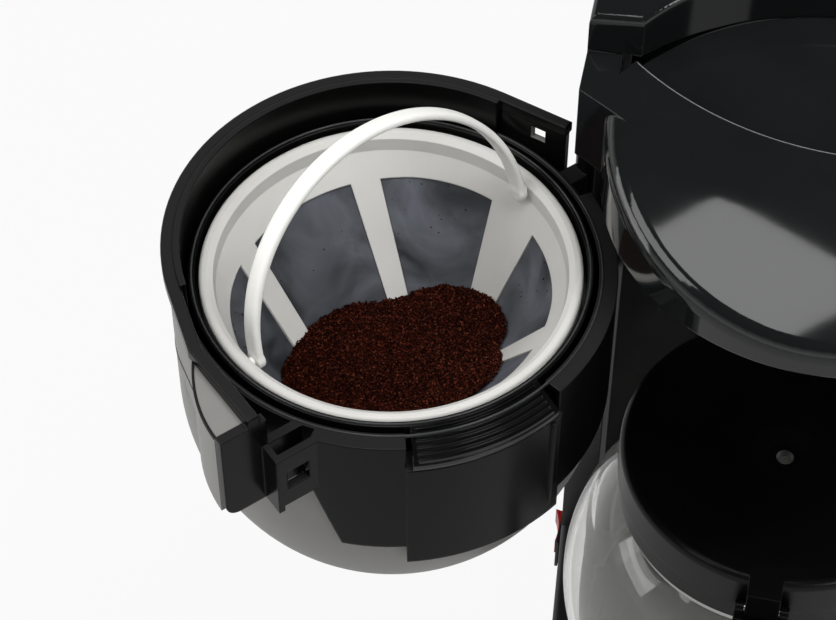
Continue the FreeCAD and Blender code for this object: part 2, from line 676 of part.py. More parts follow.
def hood_plan(inset, z0, z1):
    """Round front, stepping out to the shoulders, cut behind by the lid's seam."""
    radius = HOOD_RADIUS - inset
    half = BODY_HALF_WIDTH - inset
    step = SHOULDER_FRONT + inset
    reach = math.sqrt(radius ** 2 - step ** 2)
    outline = plan([(-reach, step), ((0, -radius), (reach, step)), (half, step + 6), (half, BODY_BACK),
                    (-half, BODY_BACK), (-half, step + 6)], z0, z1)
    seam = rod(SEAM_RADIUS - inset, z0, z1, 0, SEAM_CENTRE_Y)
    cheeks = [box(x, x + half - TAB_INNER, step, TAB_FRONT - FIT - inset, z0, z1)
              for x in (-half, TAB_INNER)]
    return outline.common(joined([seam] + cheeks))


def finger_dish(grow):
    """Recess in front of the lid's edge, bounded in front by a curved crease."""
    low = HOOD_TOP - DISH_DEPTH - grow
    front = CREASE_Y - CREASE_RADIUS - 4 - grow
    block = side([(front, low), ((TAB_FRONT, low + 4.5), (60, low + 11)), (60, HOOD_TOP + 30),
                  (front, HOOD_TOP + 30)], -BODY_HALF_WIDTH, BODY_HALF_WIDTH)
    return block.common(rod(CREASE_RADIUS + grow, LIP_BOTTOM, HOOD_TOP + 30, 0, CREASE_Y))


def hood_cover():
    outer = hood_plan(0, LIP_BOTTOM, HOOD_TOP + 20).common(under_crown(0, -100, 90))
    rolled = [edge for edge in outer.Edges
              if edge.BoundBox.ZMin > LIP_BOTTOM + 1 and edge.BoundBox.YMax < SHOULDER_FRONT + 1
              and edge.BoundBox.XLength > HOOD_RADIUS]
    outer = outer.makeFillet(HOOD_LIP_ROUND, rolled)
    inner = hood_plan(WALL, LIP_BOTTOM - 1, HOOD_TOP + 20).common(under_crown(WALL, -100, 90))
    shell = outer.cut(inner.cut(finger_dish(WALL))).cut(finger_dish(0))
    lane = box(-TAB_INNER + 4, TAB_INNER - 4, TAB_FRONT, 60, LIP_BOTTOM - 1, spray_top + 4)
    skirt = box(BODY_HALF_WIDTH - WALL, BODY_HALF_WIDTH, TAB_FRONT - 2, WING_FRONT - FIT,
                LIP_BOTTOM, TAB_BOTTOM - FIT)
    boss = rod(SLEEVE_RADIUS, LIP_BOTTOM, LIP_BOTTOM + 12, HINGE_X, HINGE_Y).common(
        box(-BODY_HALF_WIDTH, 0, -BEYOND, BEYOND, 0, HOOD_TOP))
    bracket = box(-BODY_HALF_WIDTH + WALL - 0.5, HINGE_X, HINGE_Y - 2, HINGE_Y + 2,
                  LIP_BOTTOM, LIP_BOTTOM + 12)
    solid = joined([shell.cut(lane)] + both(skirt) + [boss, bracket])
    return solid.cut(rod(HINGE_PIN, LIP_BOTTOM - 1, LIP_BOTTOM + 9, HINGE_X, HINGE_Y))


def shower_plate():
    plate = hood_plan(WALL + FIT, LIP_BOTTOM + 1, LIP_BOTTOM + 1 + shower_sheet)
    holes = [rod(SHOWER_RADIUS / 2 + FIT, 0, HOOD_TOP), rod(SLEEVE_RADIUS + 1, 0, HOOD_TOP, HINGE_X, HINGE_Y)]
    return plate.cut(group(holes))


def spray_head():
    top = spun([(0, LIP_BOTTOM - 3), (SHOWER_RADIUS, LIP_BOTTOM - 3), (SHOWER_RADIUS, LIP_BOTTOM + 0.8),
                (SHOWER_RADIUS / 2, LIP_BOTTOM + 0.8), (SHOWER_RADIUS / 2, spray_top), (0, spray_top)])
    holes = [turned(rod(1.2, 0, LIP_BOTTOM, r), 360 / count * k)
             for r, count in ((7, 5), (16, 10)) for k in range(count)]
    inlet = bar(HOSE_BORE, (0, 0, spray_mid), (-HEATER_LEG, riser_y, spray_mid))
    return top.cut(group(holes)).cut(inlet)


def swing_hinge_pin():
    return rod(HINGE_PIN, SLEEVE_BOTTOM - 9, LIP_BOTTOM + 9, HINGE_X, HINGE_Y)


# Reservoir lid
def lid_plan(inset, z0, z1):
    half = BODY_HALF_WIDTH - inset
    sheet = box(-half, half, TAB_FRONT + inset, LID_BACK, z0, z1)
    return sheet.cut(rod(SEAM_RADIUS + SEAM_GAP + inset, z0 - 1, z1 + 1, 0, SEAM_CENTRE_Y))


def lid_crown(drop):
    """Domed body under the lid's top surface: a long arc front to back, rounded across."""
    low = lid_floor + LID_SIDE
    front = (TAB_FRONT - 30, low - drop)
    back = (LID_BACK + 3, low + 1 - drop)
    middle = ((front[0] + back[0]) / 2, low + LID_CROWN - drop)
    outline = [(front[0], lid_floor - 40), (back[0], lid_floor - 40), back, (middle, front)]
    face = Part.Face(path(outline, lambda y, z: V(0, y, z)))
    axis_point = V(0, 0, low - LID_CROWN_RADIUS)
    return turned(face.revolve(axis_point, V(0, 1, 0), 24), -12, axis_point, V(0, 1, 0))


def reservoir_lid():
    outer = lid_plan(0, lid_floor, lid_floor + 60).common(lid_crown(0))
    rim = [edge for edge in outer.Edges
           if edge.BoundBox.ZMin > lid_floor + 1 and edge.BoundBox.ZLength < 30
           and edge.BoundBox.YMin < LID_BACK - 1]
    outer = outer.makeFillet(EDGE_ROUND, rim)
    inner = lid_plan(WALL, lid_floor - 1, lid_floor + 60).common(lid_crown(WALL))
    inner = inner.cut(box(-BEYOND, BEYOND, LID_BACK - 6, LID_BACK + 9, 0, BEYOND))
    shell = outer.cut(inner)
    knuckle = bar(LID_HINGE_RISE - 0.2, (lid_ear - 18, LID_BACK, lid_hinge_z),
                  (lid_ear - 2, LID_BACK, lid_hinge_z))
    gap = box(lid_ear - 1, lid_ear_end + 1, LID_BACK - 6, LID_BACK + 9, 0, BEYOND)
    bore = bar(HINGE_PIN + HINGE_RUN, (-BODY_HALF_WIDTH, LID_BACK, lid_hinge_z),
               (BODY_HALF_WIDTH, LID_BACK, lid_hinge_z))
    rear = box(-BEYOND, BEYOND, LID_BACK, BEYOND, 0, BEYOND)
    return joined([shell.cut(group(both(gap) + [rear]))] + both(knuckle)).cut(bore)


def lid_liner():
    plate = lid_plan(WALL + FIT, lid_floor + 0.5, lid_floor + 2.0)
    return plate.cut(box(-BEYOND, BEYOND, LID_BACK - 7, BEYOND, 0, BEYOND))


def lid_hinge_pin():
    return bar(HINGE_PIN, (-lid_ear_end, LID_BACK, lid_hinge_z), (lid_ear_end, LID_BACK, lid_hinge_z))


# Swing-out holder, drawn closed. The panel's right end has its own axes: out from the panel, along it.
end_turn = PANEL_RIGHT_ANGLE + PANEL_TURN
crease_out = (PANEL_RADIUS * math.cos(math.radians(PANEL_TURN))
              + PANEL_RIGHT_RUN * math.sin(math.radians(PANEL_TURN)))
crease_along = (PANEL_RIGHT_RUN * math.cos(math.radians(PANEL_TURN))
                - PANEL_RADIUS * math.sin(math.radians(PANEL_TURN)))
panel_end = crease_along + PANEL_END_RUN


def panel_band(outer, inner, z0, z1, trim=0.0):
    """Front panel in plan: an arc with straight ends, the right one turning once more at a crease."""
    def strip(radius):
        left = around(radius, PANEL_LEFT_ANGLE)
        right = around(radius, PANEL_RIGHT_ANGLE)
        inset = (PANEL_RADIUS - radius) * math.tan(math.radians(PANEL_TURN / 2))
        left_end = left + around(PANEL_LEFT_RUN, PANEL_LEFT_ANGLE - 90)
        crease = right + around(PANEL_RIGHT_RUN - inset, PANEL_RIGHT_ANGLE + 90)
        right_end = crease + around(PANEL_END_RUN - inset - trim, end_turn + 90)
        middle = around(radius, (PANEL_LEFT_ANGLE + PANEL_RIGHT_ANGLE + 360) / 2)
        return [(point.x, point.y) for point in (left_end, left, middle, right, crease, right_end)]
    a = strip(outer)
    b = strip(inner)
    return plan([a[0], a[1], (a[2], a[3]), a[4], a[5], b[5], b[4], b[3], (b[2], b[1]), b[0]], z0, z1)


def dome_outline(radius, floor, top):
    """Half outline of a cup: flat floor, round side, straight wall above the round's centre."""
    foot = math.sqrt(radius ** 2 - (DOME_CENTRE - floor) ** 2)
    lean = (math.asin((DOME_CENTRE - floor) / radius)) / 2
    middle = (radius * math.cos(lean), DOME_CENTRE - radius * math.sin(lean))
    return [(0, floor), (foot, floor), (middle, (radius, DOME_CENTRE)), (radius, top), (0, top)]


dome_top = FIN_BOTTOM + SHELL_WALL
rim_bottom = PANEL_TOP - RIM_HEIGHT
wall_inner = bowl_radius - SHELL_WALL


def silver_dome():
    cup = spun(dome_outline(DOME_RADIUS, DOME_FLOOR, dome_top))
    cup = cup.cut(spun(dome_outline(DOME_RADIUS - SHELL_WALL, DOME_FLOOR + SHELL_WALL, dome_top + 1)))
    panel = panel_band(DOME_RADIUS, DOME_RADIUS - SHELL_WALL, FIN_BOTTOM, rim_bottom, FIN_THICK + FIT)
    slot = box(-PANEL_RADIUS - 20, 10 - PANEL_RADIUS, -1, 4, rim_bottom - 7, rim_bottom - 2)
    hole = rod(PLUNGER_STEM + 5, DOME_FLOOR - 1, DOME_FLOOR + SHELL_WALL + 1)
    return joined([cup, panel, finger_ledge()]).cut(group([slot, hole]))


def finger_ledge():
    """Flat-topped swelling of the panel between its crease and the fin, hollow underneath."""
    inner = crease_out - PANEL_PROUD - SHELL_WALL
    end = panel_end - FIN_THICK - FIT
    tip = crease_out + FIN_REACH

    def swelling(inset, z0, z1):
        start = crease_along + 4 * inset
        belly = ((inner + PANEL_RIM + tip) / 2 + LEDGE_BOW - inset, (start + end) / 2)
        return turned(plan([(inner, start), (inner + SHELL_WALL, start), (belly, (tip - inset, end)),
                            (inner, end)], z0, z1), end_turn)
    solid = swelling(0, FIN_BOTTOM, rim_bottom)
    return solid.cut(swelling(SHELL_WALL, FIN_BOTTOM - 1, rim_bottom - SHELL_WALL))


def skirt(radius, start, end, bottom, top):
    return spun([(DOME_RADIUS + FIT, bottom), (radius, bottom), (radius, top),
                 (wall_inner + 1, top), (wall_inner + 1, top - SHELL_WALL),
                 (DOME_RADIUS + FIT, top - SHELL_WALL)], start, end)


def finger_fin():
    """Fin at the panel's end, the channel beside it and the latch wall that joins them to the skirt."""
    near = crease_out - PANEL_RIM - SHELL_WALL
    back = panel_end - FIN_THICK
    latch = panel_end + LATCH_GAP
    far = latch + LATCH_WALL
    skirt_out = math.sqrt(SKIRT_RADIUS ** 2 - far ** 2) - SHELL_WALL / 2
    bowl_out = math.sqrt(bowl_radius ** 2 - panel_end ** 2) - SHELL_WALL / 2
    fin = box(near, crease_out + FIN_REACH, back, panel_end, FIN_BOTTOM, rim_bottom + 0.5)
    corner = [edge for edge in fin.Edges if edge.BoundBox.YLength > 1
              and edge.BoundBox.ZMax < FIN_BOTTOM + 1 and edge.BoundBox.XMin > near + 1]
    fin = fin.makeFillet(FIN_CORNER, corner)
    channel = box(near, near + SHELL_WALL, back, far, FIN_BOTTOM, FILTER_RIM_Z)
    latch_wall = box(skirt_out, near + SHELL_WALL, latch, far, dome_top + FIT, FILTER_RIM_Z)
    hole = box(near - 1.5 - LATCH_HOLE, near - 1.5, latch - 1, far + 1, FILTER_RIM_Z - 15, FILTER_RIM_Z - 7)
    end_wall = box(bowl_out, near + 1, back, panel_end, dome_top + FIT, FILTER_RIM_Z)
    return turned(joined([fin, channel, latch_wall.cut(hole), end_wall]), end_turn)


def swing_bowl():
    cup = spun(dome_outline(bowl_radius, bowl_floor, FILTER_RIM_Z))
    rise = spun([(wall_inner, FILTER_RIM_Z - 1), (bowl_radius, FILTER_RIM_Z - 1), (bowl_radius, PANEL_TOP),
                 (wall_inner, PANEL_TOP)], PANEL_LEFT_ANGLE, 360 + PANEL_RIGHT_ANGLE)
    rim = panel_band(PANEL_RADIUS, PANEL_RADIUS - PANEL_RIM, rim_bottom, PANEL_TOP)
    rounded = [edge for edge in rim.Edges if edge.BoundBox.ZMin > PANEL_TOP - 0.1]
    rim = rim.makeFillet(0.9, rounded)
    side_skirt = skirt(SKIRT_RADIUS, SKIRT_START, TAB_START, SKIRT_BOTTOM, FILTER_RIM_Z)
    taper = turned(box(DOME_RADIUS - 5, SKIRT_RADIUS + 5, -40, 0, FIN_BOTTOM - 60, FIN_BOTTOM),
                   SKIRT_TAPER, V(0, 0, FIN_BOTTOM), V(1, 0, 0))
    skirts = [side_skirt.cut(turned(taper, SKIRT_START)),
              skirt(SKIRT_RADIUS + SKIRT_BULGE, TAB_START, TAB_END, SKIRT_BOTTOM - BULGE_DROP,
                    FILTER_RIM_Z - 9),
              skirt(SKIRT_RADIUS, TAB_END, SKIRT_END, SKIRT_BOTTOM, FILTER_RIM_Z)]
    sleeve = rod(SLEEVE_RADIUS, SLEEVE_BOTTOM, LIP_BOTTOM - 1.2, HINGE_X, HINGE_Y)
    web_turn = math.degrees(math.atan2(HINGE_Y, HINGE_X))
    web = turned(box(DOME_RADIUS + FIT, math.hypot(HINGE_X, HINGE_Y), -3, 3, SLEEVE_BOTTOM + 20,
                     FILTER_RIM_Z - 2), web_turn)
    bridge = turned(box(bowl_radius - 1, math.hypot(HINGE_X, HINGE_Y), -3, 3, dome_top + 1,
                        FILTER_RIM_Z - 2), web_turn)
    solid = joined([cup, rise, rim, finger_fin(), sleeve, web, bridge] + skirts)
    solid = solid.cut(spun(dome_outline(wall_inner, bowl_floor + SHELL_WALL, PANEL_TOP + 1)))
    mouth = spun([(wall_inner - 3, FILTER_RIM_Z - 9), (bowl_radius + 1, FILTER_RIM_Z - 9),
                  (bowl_radius + 1, FILTER_RIM_Z + 1), (wall_inner - 3, FILTER_RIM_Z + 1)],
                 TAB_START, TAB_END)
    holes = [mouth, rod(PLUNGER_STEM + 5, DOME_FLOOR, bowl_floor + SHELL_WALL + 1),
             rod(HINGE_PIN + 1.2, SLEEVE_BOTTOM - 1, LIP_BOTTOM, HINGE_X, HINGE_Y)]
    return solid.cut(group(holes))


def hinge_bushes():
    top = LIP_BOTTOM - 1.2
    return group([ring(HINGE_PIN + 1.2, HINGE_PIN + HINGE_RUN, z, z + 12, HINGE_X, HINGE_Y)
                  for z in (SLEEVE_BOTTOM, top - 12)])


# Brew basket and drip stop, drawn closed
TAB_RIBS = 6
bridge_z = basket_floor + 18
disc_floor = basket_floor + BASKET_WALL + 0.2
disc_top = disc_floor + 2


def brew_basket():
    cup = spun(dome_outline(basket_radius, basket_floor, FILTER_RIM_Z + 1))
    cup = cup.cut(spun(dome_outline(basket_radius - BASKET_WALL, basket_floor + BASKET_WALL,
                                    FILTER_RIM_Z + 2)))
    seat = ring(basket_radius - BASKET_WALL + 0.2, cone_radius + 0.4, cone_top - 4, cone_top - FIT)
    foot = ring(22, 19, bowl_floor + SHELL_WALL + 0.2, basket_floor + 0.5)
    tab_out = SKIRT_RADIUS + SKIRT_BULGE + 0.4
    tab = spun([(basket_radius - 1, FILTER_RIM_Z + 1), (tab_out, FILTER_RIM_Z - 6),
                (tab_out, FILTER_RIM_Z - 8), (basket_radius - 1, FILTER_RIM_Z - 2)],
               TAB_START + 1.5, TAB_END - 1.5)
    step = (tab_out - basket_radius) / TAB_RIBS
    ribs = []
    for index in range(TAB_RIBS):
        r = basket_radius + (index + 0.4) * step
        z = FILTER_RIM_Z + 1 - 7 * (r - basket_radius + 1) / (tab_out - basket_radius + 1)
        ribs.append(spun([(r - 0.45, z - 0.6), (r + 0.45, z - 0.6), (r + 0.3, z + 0.7), (r - 0.3, z + 0.7)],
                         TAB_START + 3, TAB_END - 3))
    posts = [rod(1.8, basket_floor + BASKET_WALL - 0.5, bridge_z, x, 0) for x in (-11, 11)]
    bridge = box(-12.8, 12.8, -3, 3, bridge_z, bridge_z + 2)
    solid = joined([cup, seat, foot, tab, bridge] + ribs + posts)
    return solid.cut(rod(DRIP_HOLE, basket_floor - 5, basket_floor + BASKET_WALL + 0.1))


def drip_plunger():
    tip = PLUNGER_TIP
    return spun([(0, tip), (5, tip), (6, tip + 1), (6, tip + 3), (PLUNGER_STEM, tip + 5),
                 (PLUNGER_STEM, disc_floor), (8, disc_floor), (8, disc_top), (2, disc_top),
                 (2, disc_top + 6), (0, disc_top + 6)])


def drip_spring():
    """Coil between the plunger's disc and the bridge over it."""
    low = disc_top + SPRING_WIRE + 0.1
    high = bridge_z - SPRING_WIRE - 0.1
    pitch = (high - low) / SPRING_TURNS
    quarter = [around(SPRING_RADIUS, 90 * k, low + pitch * k / 4) for k in range(4 * SPRING_TURNS + 1)]
    middles = [around(SPRING_RADIUS, 45 + 90 * k, low + pitch * (k + 0.5) / 4)
               for k in range(4 * SPRING_TURNS)]
    edges = [Part.Arc(a, m, b).toShape() for a, m, b in zip(quarter, middles, quarter[1:])]
    spine = Part.Wire(edges)
    loop = Part.Wire(Part.makeCircle(SPRING_WIRE, quarter[0], edges[0].tangentAt(edges[0].FirstParameter)))
    return spine.makePipeShell([loop], True, False)


# Permanent filter, drawn closed: a round mouth narrowing to a slot along the bail's axis
def slot_point(angle, inset):
    """Point of the slot below the mouth's point at an angle from the slot's line."""
    turn = (angle + 360) % 360
    radius = FILTER_SLOT_RADIUS - inset
    if 45 <= turn <= 135:
        return V(FILTER_SLOT_HALF * (90 - turn) / 45, radius, 0)
    if 225 <= turn <= 315:
        return V(FILTER_SLOT_HALF * (turn - 270) / 45, -radius, 0)
    end = FILTER_SLOT_HALF if (turn < 90 or turn > 270) else -FILTER_SLOT_HALF
    swing = 2 * (turn if turn < 90 else turn - 360 if turn > 270 else turn - 180)
    lift = around(radius, swing)
    return V(end + lift.x, lift.y, 0) if end > 0 else V(end - lift.x, -lift.y, 0)


def mouth_wire(radius, z):
    corners = [45, 135, 225, 315, 405]
    arcs = [Part.Arc(around(radius, a, z), around(radius, (a + b) / 2, z), around(radius, b, z))
            for a, b in zip(corners, corners[1:])]
    return Part.Wire([arc.toShape() for arc in arcs])


def slot_wire(inset, z):
    half = FILTER_SLOT_HALF
    radius = FILTER_SLOT_RADIUS - inset
    lift = V(0, 0, z)
    a, b, c, d = (V(half, radius, 0) + lift, V(-half, radius, 0) + lift,
                  V(-half, -radius, 0) + lift, V(half, -radius, 0) + lift)
    return Part.Wire([Part.LineSegment(a, b).toShape(), Part.Arc(b, V(-half - radius, 0, z), c).toShape(),
                      Part.LineSegment(c, d).toShape(), Part.Arc(d, V(half + radius, 0, z), a).toShape()])


def cone_body(inset, floor_lift=0.0):
    """Filter's tapered body, set in from its outer face."""
    slot = slot_wire(inset, filter_floor + floor_lift)
    return Part.makeLoft([slot, mouth_wire(cone_radius - inset, cone_top)], True, True)


def window_cutter(start, end, margin):
    """Space of one window between two ruled edges of the tapered body."""
    def edge(angle):
        low = slot_point(angle, 0)
        out = around(9, angle)
        return [around(cone_radius * 0.4, angle, cone_top), around(cone_radius * 1.35, angle, cone_top),
                low + out + V(0, 0, filter_floor), low - out * 0.25 + V(0, 0, filter_floor)]
    a = edge(start + margin)
    b = edge(end - margin)

    def loop(indices):
        points = [a[i] for i in indices] + [b[i] for i in reversed(indices)]
        return Part.makePolygon(points + points[:1])
    block = Part.makeLoft([loop([3, 2]), loop([0, 1])], True, True)
    low = filter_floor + WINDOW_FOOT + margin
    high = FILTER_RIM_Z - WINDOW_TOP_DROP - margin
    return block.common(box(-BEYOND, BEYOND, -BEYOND, BEYOND, low, high))


def window_spans():
    first = (180 - 3 * WINDOW_SPAN - 2 * RIB_SPAN) / 2
    starts = [first + k * (WINDOW_SPAN + RIB_SPAN) for k in range(3)]
    return [(s + side_turn, s + side_turn + WINDOW_SPAN) for side_turn in (0, 180) for s in starts]


def filter_frame():
    shell = cone_body(0).cut(cone_body(FILTER_WALL, FILTER_WALL))
    cutters = [window_cutter(start, end, 0) for start, end in window_spans()]
    shell = shell.cut(group(cutters))
    rim_low = cone_top
    inner = cone_radius - FILTER_WALL
    rim = spun([(inner, rim_low), (FILTER_RADIUS, rim_low), (FILTER_RADIUS, FILTER_RIM_Z - 1.5),
                ((FILTER_RADIUS - 0.44, FILTER_RIM_Z - 0.44), (FILTER_RADIUS - 1.5, FILTER_RIM_Z)),
                (cone_radius + 0.8, FILTER_RIM_Z), (inner + 0.6, FILTER_RIM_Z - 1.5)])
    solid = joined([shell, rim])
    reach = cone_radius + 1.5
    pivots = bar(BAIL_PIN + BAIL_RUN, (-reach, 0, bail_pivot_z), (reach, 0, bail_pivot_z))
    return turned(solid.cut(pivots), BAIL_ANGLE)


def filter_mesh():
    middle = (FILTER_WALL - MESH_SHEET) / 2
    sheet = cone_body(middle).cut(cone_body(middle + MESH_SHEET, middle + MESH_SHEET))
    panels = [sheet.common(window_cutter(start, end, 0.05)) for start, end in window_spans()]
    return turned(group(panels), BAIL_ANGLE)


def coffee_grounds():
    edge = FILTER_RIM_Z - COFFEE_EDGE_DROP
    radius = (COFFEE_RADIUS ** 2 + COFFEE_MOUND ** 2) / (2 * COFFEE_MOUND)
    mound = Part.makeSphere(radius, V(0, 0, edge + COFFEE_MOUND - radius))
    fill = cone_body(FILTER_WALL + FIT, FILTER_WALL + FIT)
    return turned(fill.common(mound), BAIL_ANGLE)


def filter_bail():
    """Arched strap on two pivot pins, leaning a little."""
    half = BAIL_WIDTH / 2
    thick = BAIL_THICK / 2
    spring = bail_pivot_z
    foot = bail_pivot_z - half

    def arch(radius):
        return [(radius, foot), (radius, spring), ((0, spring + radius), (-radius, spring)), (-radius, foot)]
    outer = Part.Face(path(arch(bail_radius + thick), lambda x, z: V(x, -half, z)))
    inner = Part.Face(path(arch(bail_radius - thick), lambda x, z: V(x, -half, z)))
    strap = outer.cut(inner).extrude(V(0, BAIL_WIDTH, 0))
    pin = bar(BAIL_PIN, (bail_radius - thick, 0, bail_pivot_z), (cone_radius + 1.2, 0, bail_pivot_z))
    bail = joined([strap] + both(pin))
    bail = turned(bail, -BAIL_LEAN, V(0, 0, bail_pivot_z), V(1, 0, 0))
    return turned(bail, BAIL_ANGLE)


# Carafe
def jug_outline(inset):
    """Half outline of the jug, set in by the given depth, with heights above its floor."""
    z = carafe_floor
    base = CARAFE_BASE - inset * 0.4
    foot = CARAFE_FOOT - inset
    belly = CARAFE_BELLY - inset
    shoulder = CARAFE_SHOULDER - inset
    neck = CARAFE_NECK - inset
    rim = z + CARAFE_RIM + (1 if inset else 0)
    foot_z = z + CARAFE_FOOT_HEIGHT
    shoulder_z = z + CARAFE_RIM - CARAFE_SHOULDER_DROP
    neck_z = z + CARAFE_RIM - CARAFE_NECK_HEIGHT
    return [(0, z + inset), (base, z + inset), ((base + 12, z + 4.5 + inset * 0.8), (foot, foot_z)),
            ((belly, (foot_z + shoulder_z) / 2), (shoulder, shoulder_z)),
            ((neck + 7, neck_z - 7), (neck, neck_z)), (neck, rim), (0, rim)]


def carafe_glass():
    return spun(jug_outline(0)).cut(spun(jug_outline(GLASS)))


collar_top = carafe_floor + CARAFE_RIM + 1
collar_inner = CARAFE_NECK + FIT
hinge_y = -CARAFE_LID_RADIUS - 2.5
hinge_z = collar_top + 4


def carafe_collar():
    low = collar_top - COLLAR_HEIGHT + 2.5
    band = ring(collar_inner + 3, collar_inner, low, collar_top)
    lug = box(-HANDLE_HALF_WIDTH + 3, HANDLE_HALF_WIDTH - 3, -CARAFE_LID_RADIUS - 6, -collar_inner - 1,
              low, collar_top)
    ears = [bar(EAR, (x, hinge_y, hinge_z), (x + 3, hinge_y, hinge_z)).fuse(
        box(x, x + 3, hinge_y - EAR, hinge_y + EAR, collar_top - 1, hinge_z)) for x in (-9, 6)]
    solid = joined([band, lug] + ears).cut(screw_bar(0.05))
    return solid.cut(bar(HINGE_PIN - 0.7, (-20, hinge_y, hinge_z), (20, hinge_y, hinge_z)))


def screw_bar(grow):
    """Screw that ties the handle to the collar's lug."""
    z = collar_top - COLLAR_HEIGHT / 2
    return bar(SCREW_SHANK + grow, (0, -CARAFE_LID_RADIUS - 14, z), (0, -CARAFE_LID_RADIUS - 2, z))


def carafe_band():
    low = collar_top - COLLAR_HEIGHT - 1.5
    return ring(collar_inner + 1.6, collar_inner + 0.2, low, low + 3.8)


def carafe_handle():
    """Rounded strap: out from the collar, then down in front of the jug."""
    z = collar_top - 0.2 - HANDLE_THICK / 2
    start = -CARAFE_LID_RADIUS - 6.2
    out = HANDLE_THICK / 2 - HANDLE_REACH
    spine = route([(0, start, z), (0, out, z), (0, out + 2, z - HANDLE_KNEE),
                   (0, out + 12, z - HANDLE_DROP)], 16)
    half = HANDLE_HALF_WIDTH
    thick = HANDLE_THICK / 2
    r = HANDLE_ROUND
    d = r * (1 - math.sqrt(0.5))
    loop = path([(r - half, -thick), (half - r, -thick), ((half - d, d - thick), (half, r - thick)),
                 (half, thick - r), ((half - d, thick - d), (half - r, thick)), (r - half, thick),
                 ((d - half, thick - d), (-half, thick - r)), (-half, r - thick),
                 ((d - half, d - thick), (r - half, -thick))], lambda x, h: V(x, start, z + h))
    return spine.makePipeShell([loop], True, False).cut(screw_bar(0.05))


def handle_screw():
    return screw_bar(0)


def carafe_lid():
    low = collar_top + 0.4
    top = carafe_floor + CARAFE_LID_TOP
    plug = CARAFE_NECK - GLASS - 1.2
    plate = spun([(0, low + 6), (6, low + 6), (plug - 2, low + 8), (plug - 2, low - 9), (plug, low - 9),
                  (plug, low), (CARAFE_LID_RADIUS, low), (CARAFE_LID_RADIUS, top - 3),
                  ((CARAFE_LID_RADIUS - 0.9, top - 0.9), (CARAFE_LID_RADIUS - 3, top)), (plug, top),
                  (12, top - 4), (6, top - 6), (0, top - 6)])
    lever = box(-5.6, 5.6, hinge_y - LEVER_BACK, -CARAFE_LID_RADIUS + 6, hinge_z + 0.2, top)
    knuckle = bar(EAR, (-5.6, hinge_y, hinge_z), (5.6, hinge_y, hinge_z))
    solid = joined([plate.cut(rod(3, low, top)), lever, knuckle])
    return solid.cut(bar(HINGE_PIN - 0.7 + HINGE_RUN, (-20, hinge_y, hinge_z), (20, hinge_y, hinge_z)))


def carafe_lid_pin():
    return bar(HINGE_PIN - 0.7, (-9, hinge_y, hinge_z), (9, hinge_y, hinge_z))


def swung(shape):
    return turned(shape, -SWING_OPEN, V(HINGE_X, HINGE_Y, 0))


STILL = [base_housing, bottom_cover, rubber_feet, bottom_screws, hot_plate, plate_seal, heater_block,
         heater_clamp, clamp_screw, thermostat, thermal_fuses, terminal_block, wires, switch_bezel,
         switch_rocker, cord_gland, rear_housing, level_window, tower_front_wall, water_tank, check_valve,
         inlet_hose, riser_hose, hose_clips, hood_cover, shower_plate, spray_head, swing_hinge_pin,
         reservoir_lid, lid_liner, lid_hinge_pin, carafe_glass, carafe_collar, carafe_band, carafe_handle,
         handle_screw, carafe_lid, carafe_lid_pin]
SWINGING = [silver_dome, swing_bowl, hinge_bushes, brew_basket, drip_plunger, drip_spring,
            filter_frame, filter_mesh, coffee_grounds, filter_bail]

pieces = {make.__name__: make() for make in STILL}
pieces.update({make.__name__: swung(make()) for make in SWINGING})

# The origin is the middle of the whole part's box, on the table
whole = group(list(pieces.values())).optimalBoundingBox(False, False)
origin_shift = V(-whole.Center.x, -whole.Center.y, 0)

os.makedirs("parts", exist_ok=True)
for name, shape in pieces.items():
    shape.translate(origin_shift)
    shape.exportStep("parts/" + name + ".step")
    print(name, len(shape.Solids), "solids, valid", shape.isValid(), round(shape.Volume / 1000, 2), "cm3")
print("box", [round(side_length, 2) for side_length in (whole.XLength, whole.YLength, whole.ZLength)],
      "origin shift", [round(value, 3) for value in origin_shift])
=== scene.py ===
import bpy
import json
import math
import numpy as np
import random
from mathutils import Matrix, Vector, noise

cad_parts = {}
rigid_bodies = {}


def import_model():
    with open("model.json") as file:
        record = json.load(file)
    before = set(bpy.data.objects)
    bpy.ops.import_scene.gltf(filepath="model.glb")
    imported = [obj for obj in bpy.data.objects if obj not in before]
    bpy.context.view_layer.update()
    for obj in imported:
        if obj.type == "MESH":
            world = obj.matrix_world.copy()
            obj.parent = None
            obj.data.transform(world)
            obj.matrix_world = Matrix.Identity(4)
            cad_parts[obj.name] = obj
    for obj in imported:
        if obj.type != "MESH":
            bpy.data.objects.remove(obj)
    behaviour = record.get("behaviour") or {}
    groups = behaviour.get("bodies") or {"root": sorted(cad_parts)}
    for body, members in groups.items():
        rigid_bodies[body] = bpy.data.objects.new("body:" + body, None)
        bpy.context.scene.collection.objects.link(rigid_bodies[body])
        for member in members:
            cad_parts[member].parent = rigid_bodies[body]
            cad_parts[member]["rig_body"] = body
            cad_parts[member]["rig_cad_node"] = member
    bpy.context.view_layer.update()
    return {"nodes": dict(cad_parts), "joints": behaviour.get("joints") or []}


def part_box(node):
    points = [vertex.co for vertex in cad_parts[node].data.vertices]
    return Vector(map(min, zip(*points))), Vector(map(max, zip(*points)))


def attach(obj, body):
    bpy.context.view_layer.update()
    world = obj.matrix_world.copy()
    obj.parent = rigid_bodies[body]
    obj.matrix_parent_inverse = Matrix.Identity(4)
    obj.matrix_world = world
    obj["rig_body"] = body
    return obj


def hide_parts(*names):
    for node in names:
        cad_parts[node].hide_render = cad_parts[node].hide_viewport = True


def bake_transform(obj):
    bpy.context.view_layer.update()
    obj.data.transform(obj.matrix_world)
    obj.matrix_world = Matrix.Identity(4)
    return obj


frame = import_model()
parts = frame["nodes"]
scene = bpy.context.scene


